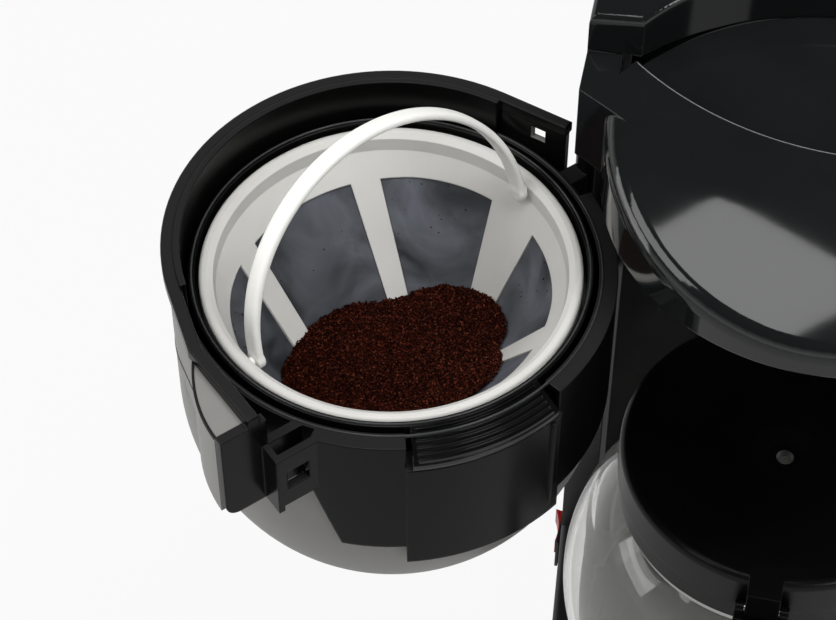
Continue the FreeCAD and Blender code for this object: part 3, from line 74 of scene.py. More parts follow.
# Base shell, rear tower and bay wall: injection-moulded black plastic with a fine
# spark-eroded grain, so light spreads softly over it and edges catch a thin line.
# The shells slide into each other and are screwed together from below.
def moulded(name, colour, roughness, grain=0.0006, depth=0.00002, spread=0.12, coat=0.0, edge=0.0005):
    """Plastic finish: a clouded tint and gloss, fine pores, and edges that shade as if rounded."""
    thin_cloud, thick_cloud, gloss_change = 0.3, 0.7, 0.1
    finish = bpy.data.materials.new(name)
    finish.use_nodes = True
    tree = finish.node_tree
    skin = tree.nodes["Principled BSDF"]
    skin.inputs["Coat Weight"].default_value = coat
    skin.inputs["Coat Roughness"].default_value = 0.06
    place = tree.nodes.new("ShaderNodeTexCoord")
    cloud = tree.nodes.new("ShaderNodeTexNoise")
    cloud.inputs["Scale"].default_value = 45.0
    cloud.inputs["Detail"].default_value = 4.0
    tint = tree.nodes.new("ShaderNodeValToRGB")
    tint.color_ramp.elements[0].position = thin_cloud
    tint.color_ramp.elements[1].position = thick_cloud
    tint.color_ramp.elements[0].color = [c * (1 - spread) for c in colour] + [1]
    tint.color_ramp.elements[1].color = [c * (1 + spread) for c in colour] + [1]
    sheen = tree.nodes.new("ShaderNodeMapRange")
    sheen.inputs["From Min"].default_value = thin_cloud
    sheen.inputs["From Max"].default_value = thick_cloud
    sheen.inputs["To Min"].default_value = roughness * (1 - gloss_change)
    sheen.inputs["To Max"].default_value = roughness * (1 + gloss_change)
    pores = tree.nodes.new("ShaderNodeTexNoise")
    pores.inputs["Scale"].default_value = 1 / grain
    pores.inputs["Detail"].default_value = 2.0
    relief = tree.nodes.new("ShaderNodeBump")
    relief.inputs["Distance"].default_value = depth
    rounded = tree.nodes.new("ShaderNodeBevel")
    rounded.samples = 6
    rounded.inputs["Radius"].default_value = edge
    link = tree.links.new
    link(place.outputs["Object"], cloud.inputs["Vector"])
    link(place.outputs["Object"], pores.inputs["Vector"])
    link(cloud.outputs["Fac"], tint.inputs["Fac"])
    link(tint.outputs["Color"], skin.inputs["Base Color"])
    link(cloud.outputs["Fac"], sheen.inputs["Value"])
    link(sheen.outputs["Result"], skin.inputs["Roughness"])
    link(pores.outputs["Fac"], relief.inputs["Height"])
    link(rounded.outputs["Normal"], relief.inputs["Normal"])
    link(relief.outputs["Normal"], skin.inputs["Normal"])
    return finish


def dress(finish, *names):
    """Give CAD nodes a finish in place of the one they came with."""
    for name in names:
        parts[name].data.materials.clear()
        parts[name].data.materials.append(finish)


black_grain = moulded("black_grain", (0.012, 0.0125, 0.0135), 0.38)
dress(black_grain, "base_housing", "bottom_cover", "rear_housing", "tower_front_wall", "switch_bezel",
      "shower_plate", "spray_head")

# Feet and cord gland: soft black rubber, matt and slightly dusty. The feet are pushed
# into the bottom cover, and the gland into the wall of the base.
black_rubber = moulded("black_rubber", (0.022, 0.022, 0.022), 0.8, grain=0.0012, depth=0.00004, spread=0.25)
dress(black_rubber, "rubber_feet", "cord_gland")


# Screws, pins, clips and clamps: drawn or turned steel, polished along the grain. They
# hold the cover, heater and handle, and the pins carry the two lids and the holder.
def metal(name, colour, roughness, grain=0.0004):
    """Bare metal with a faint grain."""
    finish = moulded(name, colour, roughness, grain, depth=0.000008, spread=0.08)
    finish.node_tree.nodes["Principled BSDF"].inputs["Metallic"].default_value = 1.0
    return finish


bright_steel = metal("bright_steel", (0.58, 0.57, 0.56), 0.28)
dress(bright_steel, "bottom_screws", "clamp_screw", "heater_clamp", "thermostat", "hose_clips",
      "swing_hinge_pin", "lid_hinge_pin", "drip_spring", "handle_screw", "carafe_lid_pin", "carafe_band")

# Hot plate: a disc of pressed steel with a dark non-stick coating. It rests on a
# silicone seal in the base.
plate_coat = moulded("plate_coat", (0.02, 0.02, 0.021), 0.5, grain=0.0009, depth=0.00003, spread=0.2)
dress(plate_coat, "hot_plate")

# Heater, fuses, terminal block and wires, all under the plate. The heater is a rough
# aluminium casting, the fuses and the block are ceramic, and the wires have red sleeves.
cast_grey = metal("cast_grey", (0.5, 0.5, 0.5), 0.55, grain=0.0015)
dress(cast_grey, "heater_block")
ceramic = moulded("ceramic", (0.68, 0.67, 0.62), 0.6, grain=0.001, spread=0.05)
dress(ceramic, "thermal_fuses", "terminal_block")
wire_sleeve = moulded("wire_sleeve", (0.35, 0.05, 0.04), 0.5)
dress(wire_sleeve, "wires")

# Water path: a milky tank and valve, silicone hoses pushed over their stubs, and the
# seal of the plate. A smoked window in the tower's side shows the water level.
milky = moulded("milky", (0.42, 0.43, 0.43), 0.35, grain=0.001, depth=0.00001, spread=0.04)
dress(milky, "water_tank", "check_valve")
silicone = moulded("silicone", (0.55, 0.55, 0.52), 0.55, grain=0.001, spread=0.05)
dress(silicone, "inlet_hose", "riser_hose", "plate_seal")
smoked = moulded("smoked", (0.09, 0.095, 0.1), 0.12, grain=0.002, depth=0.000004, spread=0.05)
dress(smoked, "level_window")

# Rocker switch: glossy red plastic, moulded in one piece and snapped on pivots in the
# black bezel.
switch_red = moulded("switch_red", (0.42, 0.012, 0.012), 0.2, grain=0.001, depth=0.000004, spread=0.08)
dress(switch_red, "switch_rocker")

# Hood and reservoir lid: black plastic from a polished mould, mirror smooth. The hood
# closes the top of the tower, and the lid turns on a pin and has a grained liner.
piano_black = moulded("piano_black", (0.0075, 0.0082, 0.0085), 0.07, grain=0.004, depth=0.000003, spread=0.1)
dress(piano_black, "hood_cover", "reservoir_lid")
dress(black_grain, "lid_liner")

# Edges on the hood: the crease round the finger dish and the edge at the lid's seam are
# each rolled to a narrow bead, coloured grey as a painted highlight that reads as a line of light.
# Both are arcs about the hood's middle line, laid on its surface.
plate_low, plate_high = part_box("hot_plate")
bay_axis = (Vector(plate_low) + Vector(plate_high)) / 2
# Painted highlight: the beads' mid grey stands in for the thin light lines on the black hood.
painted_highlight_grey = moulded("painted_highlight_grey", (0.15, 0.155, 0.16), 0.25, depth=0.000004, spread=0.1)
hood_beads = (("crease_bead", 0.0963, 0.0826, -132, 84), ("seam_bead", 0.0874, -0.042, 38, 104))
bead_half, bead_sides, bead_steps, bead_inset = 0.00022, 8, 90, 0.0006
merge_gap = 0.00001
for name, radius, centre_y, start, sweep in hood_beads:
    centre = Vector((bay_axis.x, bay_axis.y + centre_y, 0))
    first = Vector((math.cos(math.radians(start)), math.sin(math.radians(start)), 0))
    bpy.ops.object.select_all(action="DESELECT")
    bpy.ops.mesh.primitive_circle_add(vertices=bead_sides, radius=bead_half, location=(0, 0, 0))
    ridge = bpy.context.object
    ridge.name = name
    for point in ridge.data.vertices:
        point.co = centre + first * (radius + point.co.x) + Vector((0, 0, point.co.y))
    bpy.ops.object.mode_set(mode="EDIT")
    bpy.ops.mesh.select_all(action="SELECT")
    bpy.ops.mesh.edge_face_add()
    bpy.ops.mesh.spin(steps=bead_steps, angle=-math.radians(sweep), center=centre, axis=(0, 0, 1))
    bpy.ops.mesh.select_all(action="SELECT")
    bpy.ops.mesh.remove_doubles(threshold=merge_gap)
    bpy.ops.mesh.normals_make_consistent(inside=False)
    bpy.ops.object.mode_set(mode="OBJECT")
    probe_radius = radius + math.copysign(bead_inset, centre_y)
    for point in ridge.data.vertices:
        outward = Vector((point.co.x - centre.x, point.co.y - centre.y, 0)).normalized()
        probe = centre + outward * probe_radius + Vector((0, 0, 1))
        point.co.z += parts["hood_cover"].ray_cast(probe, Vector((0, 0, -1)))[1].z
    bpy.ops.object.shade_smooth()
    ridge.data.materials.append(painted_highlight_grey)
    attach(ridge, "body")

# Bowl of the swing-out holder and the brew basket that drops into it: satin black plastic.
# The bowl's upward faces carry a little grey as a painted highlight, and the basket is smoother.
bowl_black = moulded("bowl_black", (0.0028, 0.0029, 0.0027), 0.22, grain=0.0007, depth=0.00001, edge=0.0009)
bowl_tree = bowl_black.node_tree
bowl_skin = bowl_tree.nodes["Principled BSDF"]
bowl_skin.inputs["Specular IOR Level"].default_value = 0.12
# Painted light: faces that point up get a lighter base colour, standing in for the light on the rim's top.
facing = bowl_tree.nodes.new("ShaderNodeNewGeometry")
upward = bowl_tree.nodes.new("ShaderNodeSeparateXYZ")
painted_top_light = bowl_tree.nodes.new("ShaderNodeMapRange")
painted_top_light.inputs["From Min"].default_value = 0.7
painted_top_light.inputs["From Max"].default_value = 0.98
top_light_mix = bowl_tree.nodes.new("ShaderNodeMix")
top_light_mix.data_type = "RGBA"
top_light_mix.inputs["B"].default_value = (0.017, 0.017, 0.017, 1)
bowl_tree.links.new(facing.outputs["Normal"], upward.inputs["Vector"])
bowl_tree.links.new(upward.outputs["Z"], painted_top_light.inputs["Value"])
bowl_tree.links.new(painted_top_light.outputs["Result"], top_light_mix.inputs["Factor"])
bowl_tree.links.new(bowl_tree.nodes["Color Ramp"].outputs["Color"], top_light_mix.inputs["A"])
bowl_tree.links.new(top_light_mix.outputs["Result"], bowl_skin.inputs["Base Color"])
dress(bowl_black, "swing_bowl")
basket_black = moulded("basket_black", (0.0025, 0.0026, 0.0025), 0.16, grain=0.0007, depth=0.00001,
                       edge=0.0006)
dress(basket_black, "brew_basket")

# Silver shell of the holder: the dome and front panel are sprayed silver outside only, and
# the bare black plastic shows on their inner faces. It is fixed to the bowl from inside.
silver_paint = moulded("silver_paint", (0.24, 0.234, 0.225), 0.4, grain=0.0003, depth=0.00001, spread=0.05,
                       coat=0.1)
silver_paint.node_tree.nodes["Principled BSDF"].inputs["Metallic"].default_value = 0.1
dress(silver_paint, "silver_dome")
filter_low, filter_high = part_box("filter_frame")
middle = (Vector(filter_low) + Vector(filter_high)) / 2


def pick(piece):
    """Select one piece alone and make it the active one."""
    bpy.ops.object.select_all(action="DESELECT")
    piece.select_set(True)
    bpy.context.view_layer.objects.active = piece


def editable(node, name):
    """Copy of a CAD node with its seams closed, to be worked on and shown in its place."""
    piece = parts[node].copy()
    piece.data = piece.data.copy()
    piece.name = name
    piece.parent = None
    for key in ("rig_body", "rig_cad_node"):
        del piece[key]
    scene.collection.objects.link(piece)
    pick(piece)
    bpy.ops.object.mode_set(mode="EDIT")
    bpy.ops.mesh.select_all(action="SELECT")
    bpy.ops.mesh.remove_doubles(threshold=merge_gap)
    bpy.ops.object.mode_set(mode="OBJECT")
    return piece


bare_above, inner_facing, bare_slot = 0.2, 0.3, 1
shell = editable("silver_dome", "silver_shell")
shell.data.materials.append(bowl_black)
for face in shell.data.polygons:
    inward = Vector((middle.x - face.center.x, middle.y - face.center.y, 0)).normalized()
    if face.normal.dot(inward) > inner_facing and face.center.z > bare_above:
        face.material_index = bare_slot
bpy.ops.object.shade_smooth_by_angle(angle=math.radians(30))
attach(shell, "holder")
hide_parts("silver_dome")

# Parting line of the silver panel: a black strip on its face, painted shade of the gap, widest in
# the middle, that climbs round the panel to its crease, and a thin black bead along the outer edge of the
# finger ledge.
dome_radius = 0.068
round_end = math.radians(-150)
gap_start, gap_end = (-0.034, 0.242), (0.0236, 0.2655)
gap_width, gap_least, gap_taper, gap_stations = 0.0017, 0.00015, 0.8, 48
gap_sunk, gap_proud = -0.0003, 0.00012


def on_panel(along, height, lift):
    """Point on the panel's wall, measured along it from where its round part ends."""
    angle = round_end + min(along, 0) / dome_radius
    out = Vector((math.cos(angle), math.sin(angle), 0))
    ahead = Vector((-out.y, out.x, 0))
    return Vector((middle.x, middle.y, height)) + out * (dome_radius + lift) + ahead * max(along, 0)


def strip(name, sections):
    """Closed black strip on the holder, through a row of four-cornered sections."""
    points = [tuple(point) for section in sections for point in section]
    faces = [(0, 1, 2, 3), tuple(len(points) - k for k in (1, 2, 3, 4))]
    for row in range(len(sections) - 1):
        for k in range(4):
            near, far = 4 * row + k, 4 * row + (k + 1) % 4
            faces.append((near, near + 4, far + 4, far))
    mesh = bpy.data.meshes.new(name)
    mesh.from_pydata(points, [], faces)
    piece = bpy.data.objects.new(name, mesh)
    scene.collection.objects.link(piece)
    pick(piece)
    bpy.ops.object.mode_set(mode="EDIT")
    bpy.ops.mesh.select_all(action="SELECT")
    bpy.ops.mesh.normals_make_consistent(inside=False)
    bpy.ops.object.mode_set(mode="OBJECT")
    bpy.ops.object.shade_smooth_by_angle(angle=math.radians(40))
    mesh.materials.append(bowl_black)
    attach(piece, "holder")


# Painted shade: the black strip stands in for the shadow in the gap below the panel's edge.
gap_sections = []
for step in range(gap_stations + 1):
    share = step / gap_stations
    along = gap_start[0] + (gap_end[0] - gap_start[0]) * share
    height = gap_start[1] + (gap_end[1] - gap_start[1]) * share
    half = gap_least + gap_width / 2 * math.sin(math.pi * share) ** gap_taper
    gap_sections.append([on_panel(along, height - half, gap_sunk), on_panel(along, height - half, gap_proud),
                         on_panel(along, height + half, gap_proud), on_panel(along, height + half, gap_sunk)])
strip("panel_gap_shade", gap_sections)

ledge_bearing = math.radians(-133)
ledge_out = Vector((math.cos(ledge_bearing), math.sin(ledge_bearing), 0))
ledge_ahead = Vector((-ledge_out.y, ledge_out.x, 0))
ledge_top, bead, ledge_stations = 0.288, 0.0007, 24
ledge_start, ledge_belly, ledge_tip = (0.0719, 0.0024), (0.0800, 0.0170), (0.0829, 0.0316)
bead_outline = ((-bead, -bead), (bead / 3, -bead), (bead / 3, bead / 4), (-bead, bead / 4))
bead_sections = []
for step in range(ledge_stations + 1):
    share = step / ledge_stations
    weights = ((1 - share) * (1 - 2 * share), 4 * share * (1 - share), share * (2 * share - 1))
    out, ahead = [sum(w * point[axis] for w, point in zip(weights, (ledge_start, ledge_belly, ledge_tip)))
                  for axis in (0, 1)]
    spot = Vector((middle.x, middle.y, ledge_top)) + ledge_out * out + ledge_ahead * ahead
    bead_sections.append([spot + ledge_out * x + Vector((0, 0, z)) for x, z in bead_outline])
strip("ledge_bead", bead_sections)

# Guide rib: a short upright rib on the bowl's skirt beside the finger tab, moulded with the
# bowl, that tapers to a point below.
rib_angle, rib_top, rib_bottom, rib_stations = math.radians(-35), 0.2665, 0.2245, 16
rib_half, rib_rise, rib_root = 0.0011, 0.0013, 0.0006
rib_tip, rib_taper, rib_crown, probe_reach = 0.12, 4, 0.5, 0.15
rib_out = Vector((math.cos(rib_angle), math.sin(rib_angle), 0))
rib_ahead = Vector((-rib_out.y, rib_out.x, 0))
rib_sections = []
for step in range(rib_stations + 1):
    share = step / rib_stations
    height = rib_top + (rib_bottom - rib_top) * share
    probe = Vector((middle.x, middle.y, height)) + rib_out * probe_reach
    wall = parts["swing_bowl"].ray_cast(probe, -rib_out)[1]
    fullness = min(1, rib_tip + rib_taper * (1 - share))
    root = wall - rib_out * rib_root
    crown = wall + rib_out * rib_rise * fullness
    half = rib_ahead * rib_half * fullness
    rib_sections.append([root - half, crown - half * rib_crown, crown + half * rib_crown, root + half])
strip("skirt_rib", rib_sections)

# Rim of the brew basket and top edge of the bowl: each ends in a narrow stepped bead,
# moulded with it and coloured dark grey as a painted highlight along the edge.
# Painted highlight: the beads' grey stands in for the thin light lines along the rims.
painted_highlight_rim = moulded("painted_highlight_rim", (0.04, 0.041, 0.042), 0.2, depth=0.000004, spread=0.3)
bead_rings = (("basket_bead", "basket", 0.0611, 0.2782), ("bowl_bead", "holder", 0.0647, 0.2772))
ring_profile = ((-0.0003, -0.0008), (-0.0003, 0.0001), (-0.0001, 0.0003), (0.0001, 0.0003), (0.0003, 0.0001),
                (0.0003, -0.0008))
ring_steps = 144
for name, body, radius, height in bead_rings:
    mesh = bpy.data.meshes.new(name)
    mesh.from_pydata([(middle.x + radius + x, middle.y, height + z) for x, z in ring_profile], [],
                     [tuple(range(len(ring_profile)))])
    ring = bpy.data.objects.new(name, mesh)
    scene.collection.objects.link(ring)
    pick(ring)
    bpy.ops.object.mode_set(mode="EDIT")
    bpy.ops.mesh.select_all(action="SELECT")
    bpy.ops.mesh.spin(steps=ring_steps, angle=2 * math.pi, center=(middle.x, middle.y, 0), axis=(0, 0, 1))
    bpy.ops.mesh.select_all(action="SELECT")
    bpy.ops.mesh.remove_doubles(threshold=merge_gap)
    bpy.ops.mesh.delete_loose()
    bpy.ops.mesh.select_all(action="SELECT")
    bpy.ops.mesh.normals_make_consistent(inside=False)
    bpy.ops.object.mode_set(mode="OBJECT")
    bpy.ops.object.shade_smooth_by_angle(angle=math.radians(30))
    mesh.materials.append(painted_highlight_rim)
    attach(ring, body)

# Hinge bushes and drip-stop plunger: cream acetal, which slides without grease. The bushes
# are pressed into the holder's sleeve, and the plunger moves in the basket's outlet.
acetal = moulded("acetal", (0.7, 0.69, 0.65), 0.4, grain=0.001, depth=0.00001, spread=0.04)
dress(acetal, "hinge_bushes", "drip_plunger")

# Drip-stop spring: a coil of thin steel wire between the plunger's disc and the bridge of
# the basket. It shortens as the plunger is pushed up.
coil = editable("drip_spring", "drip_coil")
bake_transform(coil)
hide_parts("drip_spring")

# Permanent filter: a white polypropylene cage moulded round panels of fine nylon mesh. It
# hangs by its rim in the brew basket, and the mesh is stained and a little cloudy.
cage_white = moulded("cage_white", (0.61, 0.602, 0.575), 0.42, grain=0.0008, depth=0.00001, spread=0.03)
cage_skin = cage_white.node_tree.nodes["Principled BSDF"]
cage_skin.inputs["Subsurface Weight"].default_value = 0.15
cage_skin.inputs["Subsurface Radius"].default_value = (0.002, 0.002, 0.0015)
dress(cage_white, "filter_frame")
nylon = moulded("nylon", (0.08, 0.086, 0.1), 0.6, grain=0.0004, depth=0.00005, spread=0.7)
threads_round, threads_up = 760.0, 17000.0
nylon_tree = nylon.node_tree
stain = nylon_tree.nodes["Noise Texture"]
stain.inputs["Scale"].default_value = 38.0
stain.inputs["Distortion"].default_value = 1.2
centred = nylon_tree.nodes.new("ShaderNodeVectorMath")
centred.operation = "SUBTRACT"
centred.inputs[1].default_value = (middle.x, middle.y, 0)
spread = nylon_tree.nodes.new("ShaderNodeSeparateXYZ")
nylon_tree.links.new(nylon_tree.nodes["Texture Coordinate"].outputs["Object"], centred.inputs[0])
nylon_tree.links.new(centred.outputs[0], spread.inputs[0])


def maths(tree, kind, first, second):
    """Output of a Math node on two sockets, or on a socket and a number."""
    node = tree.nodes.new("ShaderNodeMath")
    node.operation = kind
    for socket, value in zip(node.inputs, (first, second)):
        if isinstance(value, float):
            socket.default_value = value
        else:
            tree.links.new(value, socket)
    return node.outputs[0]


bearing = maths(nylon_tree, "ARCTAN2", spread.outputs["Y"], spread.outputs["X"])
weft = maths(nylon_tree, "SINE", maths(nylon_tree, "MULTIPLY", bearing, threads_round), 0.0)
warp = maths(nylon_tree, "SINE", maths(nylon_tree, "MULTIPLY", spread.outputs["Z"], threads_up), 0.0)
weave = maths(nylon_tree, "MULTIPLY", weft, warp)
nylon_tree.links.new(weave, nylon_tree.nodes["Bump"].inputs["Height"])
dress(nylon, "filter_mesh")

# Bail of the filter: one moulded white strap with soft edges, arched over the mouth. Its
# ends are snapped on two pins inside the rim, and it stands a little off upright.
bail_white = moulded("bail_white", (0.83, 0.825, 0.79), 0.42, grain=0.0008, depth=0.00001, spread=0.03)
dress(bail_white, "filter_bail")
fold = next(joint for joint in frame["joints"] if joint["name"] == "bail_fold")
arch_radius, strap_width, strap_thick, strap_round = 0.0521, 0.0062, 0.0028, 0.6
eye_radius, eye_edge = strap_width / 2 + 0.0001, 0.0007
pin_radius, pin_length, pin_offset = 0.0015, 0.004, 0.003
bail_lean = math.radians(-15)
bpy.ops.object.select_all(action="DESELECT")
bpy.ops.mesh.primitive_circle_add(vertices=24, radius=1.0, location=(0, 0, 0))
bail = bpy.context.object
bail.name = "bail_strap"
for point in bail.data.vertices:
    x, y = point.co.x, point.co.y
    point.co.x = arch_radius + math.copysign(abs(x) ** strap_round, x) * strap_thick / 2
    point.co.y = math.copysign(abs(y) ** strap_round, y) * strap_width / 2
bpy.ops.object.mode_set(mode="EDIT")
bpy.ops.mesh.select_all(action="SELECT")
bpy.ops.mesh.edge_face_add()
bpy.ops.mesh.spin(steps=80, angle=math.pi, center=(0, 0, 0), axis=(0, 1, 0))
bpy.ops.mesh.select_all(action="SELECT")
bpy.ops.mesh.remove_doubles(threshold=merge_gap)
bpy.ops.object.mode_set(mode="OBJECT")
for side in (-1, 1):
    bpy.ops.mesh.primitive_cylinder_add(vertices=40, radius=eye_radius, depth=strap_thick,
                                        location=(side * arch_radius, 0, 0), rotation=(0, math.pi / 2, 0))
    eye = bpy.context.object
    soften = eye.modifiers.new("soften", "BEVEL")
    soften.width = eye_edge
    soften.segments = 3
    bpy.ops.object.modifier_apply(modifier="soften")
    bpy.ops.mesh.primitive_cylinder_add(vertices=24, radius=pin_radius, depth=pin_length,
                                        location=(side * (arch_radius + pin_offset), 0, 0),
                                        rotation=(0, math.pi / 2, 0))
    eye.select_set(True)
    bail.select_set(True)
    bpy.context.view_layer.objects.active = bail
    bpy.ops.object.join()
lean = Matrix.Rotation(bail_lean, 4, "X")
heading = Matrix.Rotation(math.atan2(fold["axis"][1], fold["axis"][0]), 4, "Z")
bail.data.transform(Matrix.Translation(fold["pos_m"]) @ heading @ lean)
bpy.ops.object.mode_set(mode="EDIT")
bpy.ops.mesh.select_all(action="SELECT")
bpy.ops.mesh.normals_make_consistent(inside=False)
bpy.ops.object.mode_set(mode="OBJECT")
bpy.ops.object.shade_smooth_by_angle(angle=math.radians(40))
bail.data.materials.append(bail_white)
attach(bail, "bail")
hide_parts("filter_bail")

# Ground coffee: a heap that fills the lower part of the filter, highest at the front right
# and sloping down to the back. Its sides follow the mesh from the slot at the bottom to the
# round mouth, and a block with a rough top cuts it off.
slot_half, slot_round, wall_depth = 0.025, 0.0042, 0.0018
mouth_inset, mouth_drop = 0.0052, 0.006
mouth_radius = (filter_high[0] - filter_low[0]) / 2 - mouth_inset
mouth_height = filter_high[2] - mouth_drop
slot_height = filter_low[2] + wall_depth
bpy.ops.object.select_all(action="DESELECT")
bpy.ops.mesh.primitive_circle_add(vertices=120, radius=1.0, fill_type="NGON", location=(0, 0, 0))
heap = bpy.context.object
heap.name = "coffee_heap"
bpy.ops.object.mode_set(mode="EDIT")
bpy.ops.mesh.select_all(action="SELECT")
bpy.ops.mesh.extrude_region_move(TRANSFORM_OT_translate={"value": (0, 0, 1)})
bpy.ops.mesh.select_all(action="SELECT")
bpy.ops.mesh.normals_make_consistent(inside=False)
bpy.ops.object.mode_set(mode="OBJECT")
for point in heap.data.vertices:
    # Each half turn runs round one end of the slot in 90 degrees, then along one side of it.
    angle = math.degrees(math.atan2(point.co.y, point.co.x))
    turned = (angle + 45) % 180 - 45
    side = 1 if -45 <= angle < 135 else -1
    swing = math.radians(2 * turned)
    if point.co.z > 0.5:
        point.co = Vector((point.co.x * mouth_radius, point.co.y * mouth_radius, mouth_height))
    elif turned <= 45:
        point.co = Vector((side * (slot_half + slot_round * math.cos(swing)),
                           side * slot_round * math.sin(swing), slot_height))
    else:
        point.co = Vector((side * slot_half * (90 - turned) / 45, side * slot_round, slot_height))
heap.data.transform(Matrix.Translation((middle.x, middle.y, 0)) @ heading)

heap_level, heap_slope, heap_reach = 0.2352, 0.205, 0.035
side_rise, front_rise, back_rise, left_twist = 0.003, 0.5, 0.06, 0.37
lumps = ((0.011, 0.0007), (0.004, 0.0006), (0.0014, 0.0004))
rightward, rearward = Vector((0.978, 0.208, 0)), Vector((-0.208, 0.978, 0))
block_cells, block_size, block_depth = 190, 0.098, 0.04
bpy.ops.mesh.primitive_grid_add(x_subdivisions=block_cells, y_subdivisions=block_cells, size=block_size,
                                location=(0, 0, 0))
block = bpy.context.object
bpy.ops.object.mode_set(mode="EDIT")
bpy.ops.mesh.select_all(action="SELECT")
bpy.ops.mesh.extrude_region_move(TRANSFORM_OT_translate={"value": (0, 0, -block_depth)})
bpy.ops.mesh.select_all(action="SELECT")
bpy.ops.mesh.normals_make_consistent(inside=False)
bpy.ops.object.mode_set(mode="OBJECT")
for point in block.data.vertices:
    spot = Vector((point.co.x, point.co.y, 0))
    right, rear = spot.dot(rightward), spot.dot(rearward)
    if point.co.z > -block_depth / 2:
        rightness, leftness = max(right, 0) / heap_reach, max(-right, 0) / heap_reach
        bulge = (front_rise * max(-rear, 0) + back_rise * max(rear, 0)) * rightness
        twist = left_twist * rear * leftness
        rough = sum(noise.noise(spot / size) * tall for size, tall in lumps)
        point.co.z = side_rise * rightness ** 2 + bulge + twist - heap_slope * rear + rough
    point.co += Vector((middle.x, middle.y, heap_level))
carve = heap.modifiers.new("carve", "BOOLEAN")
carve.operation = "INTERSECT"
carve.solver = "EXACT"
carve.object = block
pick(heap)
bpy.ops.object.modifier_apply(modifier="carve")
bpy.data.objects.remove(block)
bpy.ops.object.shade_smooth()
grounds = moulded("grounds", (0.018, 0.0032, 0.0014), 0.85, grain=0.0007, depth=0.0004, spread=0.6)
grounds.node_tree.nodes["Principled BSDF"].inputs["Specular IOR Level"].default_value = 0.06
heap.data.materials.append(grounds)
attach(heap, "filter")
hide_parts("coffee_grounds")

# Loose grains on the heap and a few that strayed onto the mesh: small angular chips, each
# with its own tone of brown, the lightest of them a painted highlight for grains that catch the light.
chance = random.Random(5)
grain_count, stray_count = 23000, 90
grain_least, grain_most, stray_scale = 0.00018, 0.00044, 0.8
grain_lift, grain_jitter, full_turn = 0.4, 0.0003, 6.283
stray_depth, mesh_facing, top_facing = 0.012, 0.01, 0.2
chip_points = np.array(((1, 0, 0), (0, 1, 0), (-1, 0, 0), (0, -1, 0), (0, 0, 1), (0, 0, -1)), float)
chip_faces = [(k, (k + 1) % 4, 4) for k in range(4)] + [((k + 1) % 4, k, 5) for k in range(4)]
tops = [face for face in heap.data.polygons if face.normal.z > top_facing]
crest = max(face.center.z for face in tops)
walls = [face for face in parts["filter_mesh"].data.polygons
         if face.normal.dot(middle - face.center) > mesh_facing and face.center.z > crest - stray_depth]
points, faces = [], []
for index in range(grain_count):
    stray = index <= stray_count
    face = chance.choice(walls if stray else tops)
    size = chance.uniform(grain_least, grain_most) * (stray_scale if stray else 1)
    angle = chance.uniform(0, full_turn)
    turn = Matrix.Rotation(angle, 3, Vector((chance.gauss(0, 1), chance.gauss(0, 1), 1)))
    shape = np.diag((size * chance.uniform(0.7, 1.4), size, size * chance.uniform(0.6, 1.0)))
    jitter = [chance.uniform(-grain_jitter, grain_jitter) for axis in range(3)]
    spot = np.array(face.center + face.normal * size * grain_lift) + jitter
    points.append(chip_points @ shape @ np.array(turn) + spot)
    first = len(chip_points) * index
    faces.extend((a + first, b + first, c + first) for a, b, c in chip_faces)
crumbs_mesh = bpy.data.meshes.new("coffee_crumbs")
crumbs_mesh.from_pydata(np.concatenate(points).tolist(), [], faces)
crumbs = bpy.data.objects.new("coffee_crumbs", crumbs_mesh)
scene.collection.objects.link(crumbs)
loose = moulded("loose_grounds", (0.037, 0.0068, 0.0032), 0.6, grain=0.0012, depth=0.0001, spread=0.85)
loose.node_tree.nodes["Principled BSDF"].inputs["Specular IOR Level"].default_value = 0.06
# Painted highlight: the grains at the top of the random range shade up to a bright brown, standing in for
# glints.
glint_brown, glint_start = (0.16, 0.04, 0.02, 1), 0.84
browns = loose.node_tree.nodes["Color Ramp"]
browns.color_ramp.elements[-1].position = glint_start
browns.color_ramp.elements.new(1.0).color = glint_brown
grain_tone = loose.node_tree.nodes.new("ShaderNodeNewGeometry")
loose.node_tree.links.new(grain_tone.outputs["Random Per Island"], browns.inputs["Fac"])
crumbs_mesh.materials.append(loose)
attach(crumbs, "filter")

# Carafe: a blown glass jug with a collar, handle and lid of deep black plastic. A steel
# band clamps the collar round the neck, and the handle is screwed to it.
jug_glass = bpy.data.materials.new("jug_glass")
jug_glass.use_nodes = True
jug_skin = jug_glass.node_tree.nodes["Principled BSDF"]
jug_skin.inputs["Base Color"].default_value = (0.9, 0.9, 0.88, 1)
jug_skin.inputs["Transmission Weight"].default_value = 0.94
jug_skin.inputs["Roughness"].default_value = 0.02
jug_skin.inputs["IOR"].default_value = 1.47
dress(jug_glass, "carafe_glass")
handle_black = moulded("handle_black", (0.003, 0.0032, 0.003), 0.3)
handle_black.node_tree.nodes["Principled BSDF"].inputs["Specular IOR Level"].default_value = 0.2
dress(handle_black, "carafe_collar", "carafe_handle", "carafe_lid")

# Floor of the stage: matt grey to the light, so it keeps the shadow, and nearly white to
# the camera and through glass. Reflections show it less bright.
floor_glow, glossy_share = 0.93, 0.4
bpy.ops.object.select_all(action="DESELECT")
bpy.ops.mesh.primitive_plane_add(size=8.0, location=(0, 0, 0))
floor = bpy.context.object
floor.name = "floor"
pale = bpy.data.materials.new("pale_floor")
pale.use_nodes = True
pale_tree = pale.node_tree
pale_skin = pale_tree.nodes["Principled BSDF"]
pale_skin.inputs["Base Color"].default_value = (0.36, 0.36, 0.36, 1)
pale_skin.inputs["Roughness"].default_value = 0.9
glow = pale_tree.nodes.new("ShaderNodeEmission")
glow.inputs["Strength"].default_value = 1.0
mix = pale_tree.nodes.new("ShaderNodeMixShader")
path = pale_tree.nodes.new("ShaderNodeLightPath")
seen = maths(pale_tree, "MAXIMUM", path.outputs["Is Camera Ray"], path.outputs["Is Transmission Ray"])
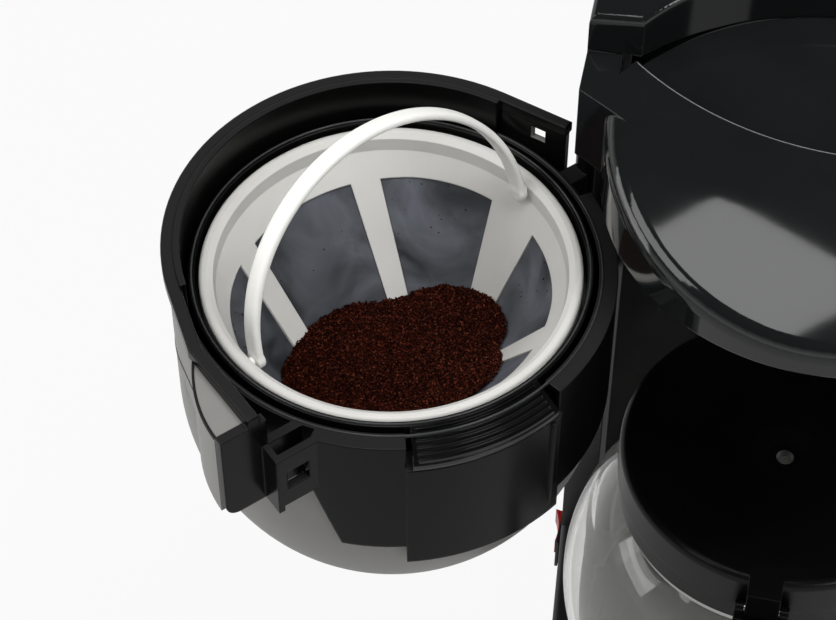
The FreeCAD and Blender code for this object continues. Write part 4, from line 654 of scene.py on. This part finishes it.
mirrored = maths(pale_tree, "MULTIPLY", path.outputs["Is Glossy Ray"], glossy_share)
lit = maths(pale_tree, "MULTIPLY", maths(pale_tree, "MAXIMUM", seen, mirrored), floor_glow)
pale_tree.links.new(lit, mix.inputs["Fac"])
pale_tree.links.new(pale_skin.outputs[0], mix.inputs[1])
pale_tree.links.new(glow.outputs[0], mix.inputs[2])
pale_tree.links.new(mix.outputs[0], pale_tree.nodes["Material Output"].inputs["Surface"])
floor.data.materials.append(pale)

# Surround of the stage: white to the camera and through glass, a soft even light on the
# object, and for reflections white at the horizon and dark above it.
world = bpy.data.worlds.new("studio")
scene.world = world
world.use_nodes = True
sky_tree = world.node_tree
back = sky_tree.nodes["Background"]
back.inputs["Color"].default_value = (1, 1, 1, 1)
path = sky_tree.nodes.new("ShaderNodeLightPath")
sky = sky_tree.nodes.new("ShaderNodeTexCoord")
sky_height = sky_tree.nodes.new("ShaderNodeSeparateXYZ")
dim_sky = sky_tree.nodes.new("ShaderNodeMapRange")
dim_sky.inputs["From Min"].default_value = 0.05
dim_sky.inputs["From Max"].default_value = 0.4
dim_sky.inputs["To Min"].default_value = 1.0
dim_sky.inputs["To Max"].default_value = 0.03
soft = sky_tree.nodes.new("ShaderNodeMix")
soft.inputs["A"].default_value = 0.35
white = sky_tree.nodes.new("ShaderNodeMix")
white.inputs["B"].default_value = 1.0
seen = maths(sky_tree, "MAXIMUM", path.outputs["Is Camera Ray"], path.outputs["Is Transmission Ray"])
sky_tree.links.new(sky.outputs["Generated"], sky_height.inputs["Vector"])
sky_tree.links.new(sky_height.outputs["Z"], dim_sky.inputs["Value"])
sky_tree.links.new(path.outputs["Is Glossy Ray"], soft.inputs["Factor"])
sky_tree.links.new(dim_sky.outputs["Result"], soft.inputs["B"])
sky_tree.links.new(soft.outputs["Result"], white.inputs["A"])
sky_tree.links.new(seen, white.inputs["Factor"])
sky_tree.links.new(white.outputs["Result"], back.inputs["Strength"])


# Lamps: a soft key from above on the right, hidden from reflections, a soft fill from the
# front left, and three panels at the front right, the left and the top, which give the
# hood its bright patch and the edges their lines.
def lamp(name, place, aim, width, height, power):
    """Rectangular lamp turned to a point of the object."""
    data = bpy.data.lights.new(name, "AREA")
    data.shape = "RECTANGLE"
    data.size = width
    data.size_y = height
    data.energy = power
    light = bpy.data.objects.new(name, data)
    scene.collection.objects.link(light)
    light.location = place
    light.rotation_euler = (Vector(aim) - Vector(place)).to_track_quat("-Z", "Y").to_euler()
    return light


key = lamp("soft_key", (0.42, -0.1, 1.75), (0.0, -0.05, 0.25), width=0.7, height=0.7, power=14.5)
key.visible_glossy = False
lamp("soft_fill", (-0.95, -0.55, 1.4), (0, 0, 0.25), width=0.8, height=0.8, power=7)
lamp("front_panel", (1.0, -0.88, 1.15), (0.0, -0.08, 0.27), width=0.45, height=0.45, power=3.5)
lamp("side_panel", (-1.4, -0.28, 0.62), (0.0, 0, 0.3), width=0.8, height=0.6, power=4.5)
lamp("top_panel", (-0.1, -0.22, 1.78), (0.02, -0.055, 0.315), width=0.55, height=0.45, power=3.4)

# Camera of the reference view: high on the front right, with a long lens. It looks at the
# mouth of the swung-out holder, and the right of the machine leaves the frame.
view_turn, view_rise, view_reach = math.radians(12), math.radians(50.76), 0.7728
view_aim = Vector((bay_axis.x - 0.1175, bay_axis.y - 0.0548, 0.277))
away = Vector((math.sin(view_turn) * math.cos(view_rise), -math.cos(view_turn) * math.cos(view_rise),
               math.sin(view_rise)))
camera_data = bpy.data.cameras.new("view")
camera_data.lens = 110.24
camera_data.sensor_width = 36.0
camera = bpy.data.objects.new("view", camera_data)
scene.collection.objects.link(camera)
camera.location = view_aim + away * view_reach
camera.rotation_euler = (-away).to_track_quat("-Z", "Y").to_euler()
scene.camera = camera

# Finish: plain view transform.
scene.view_settings.view_transform = "Standard"
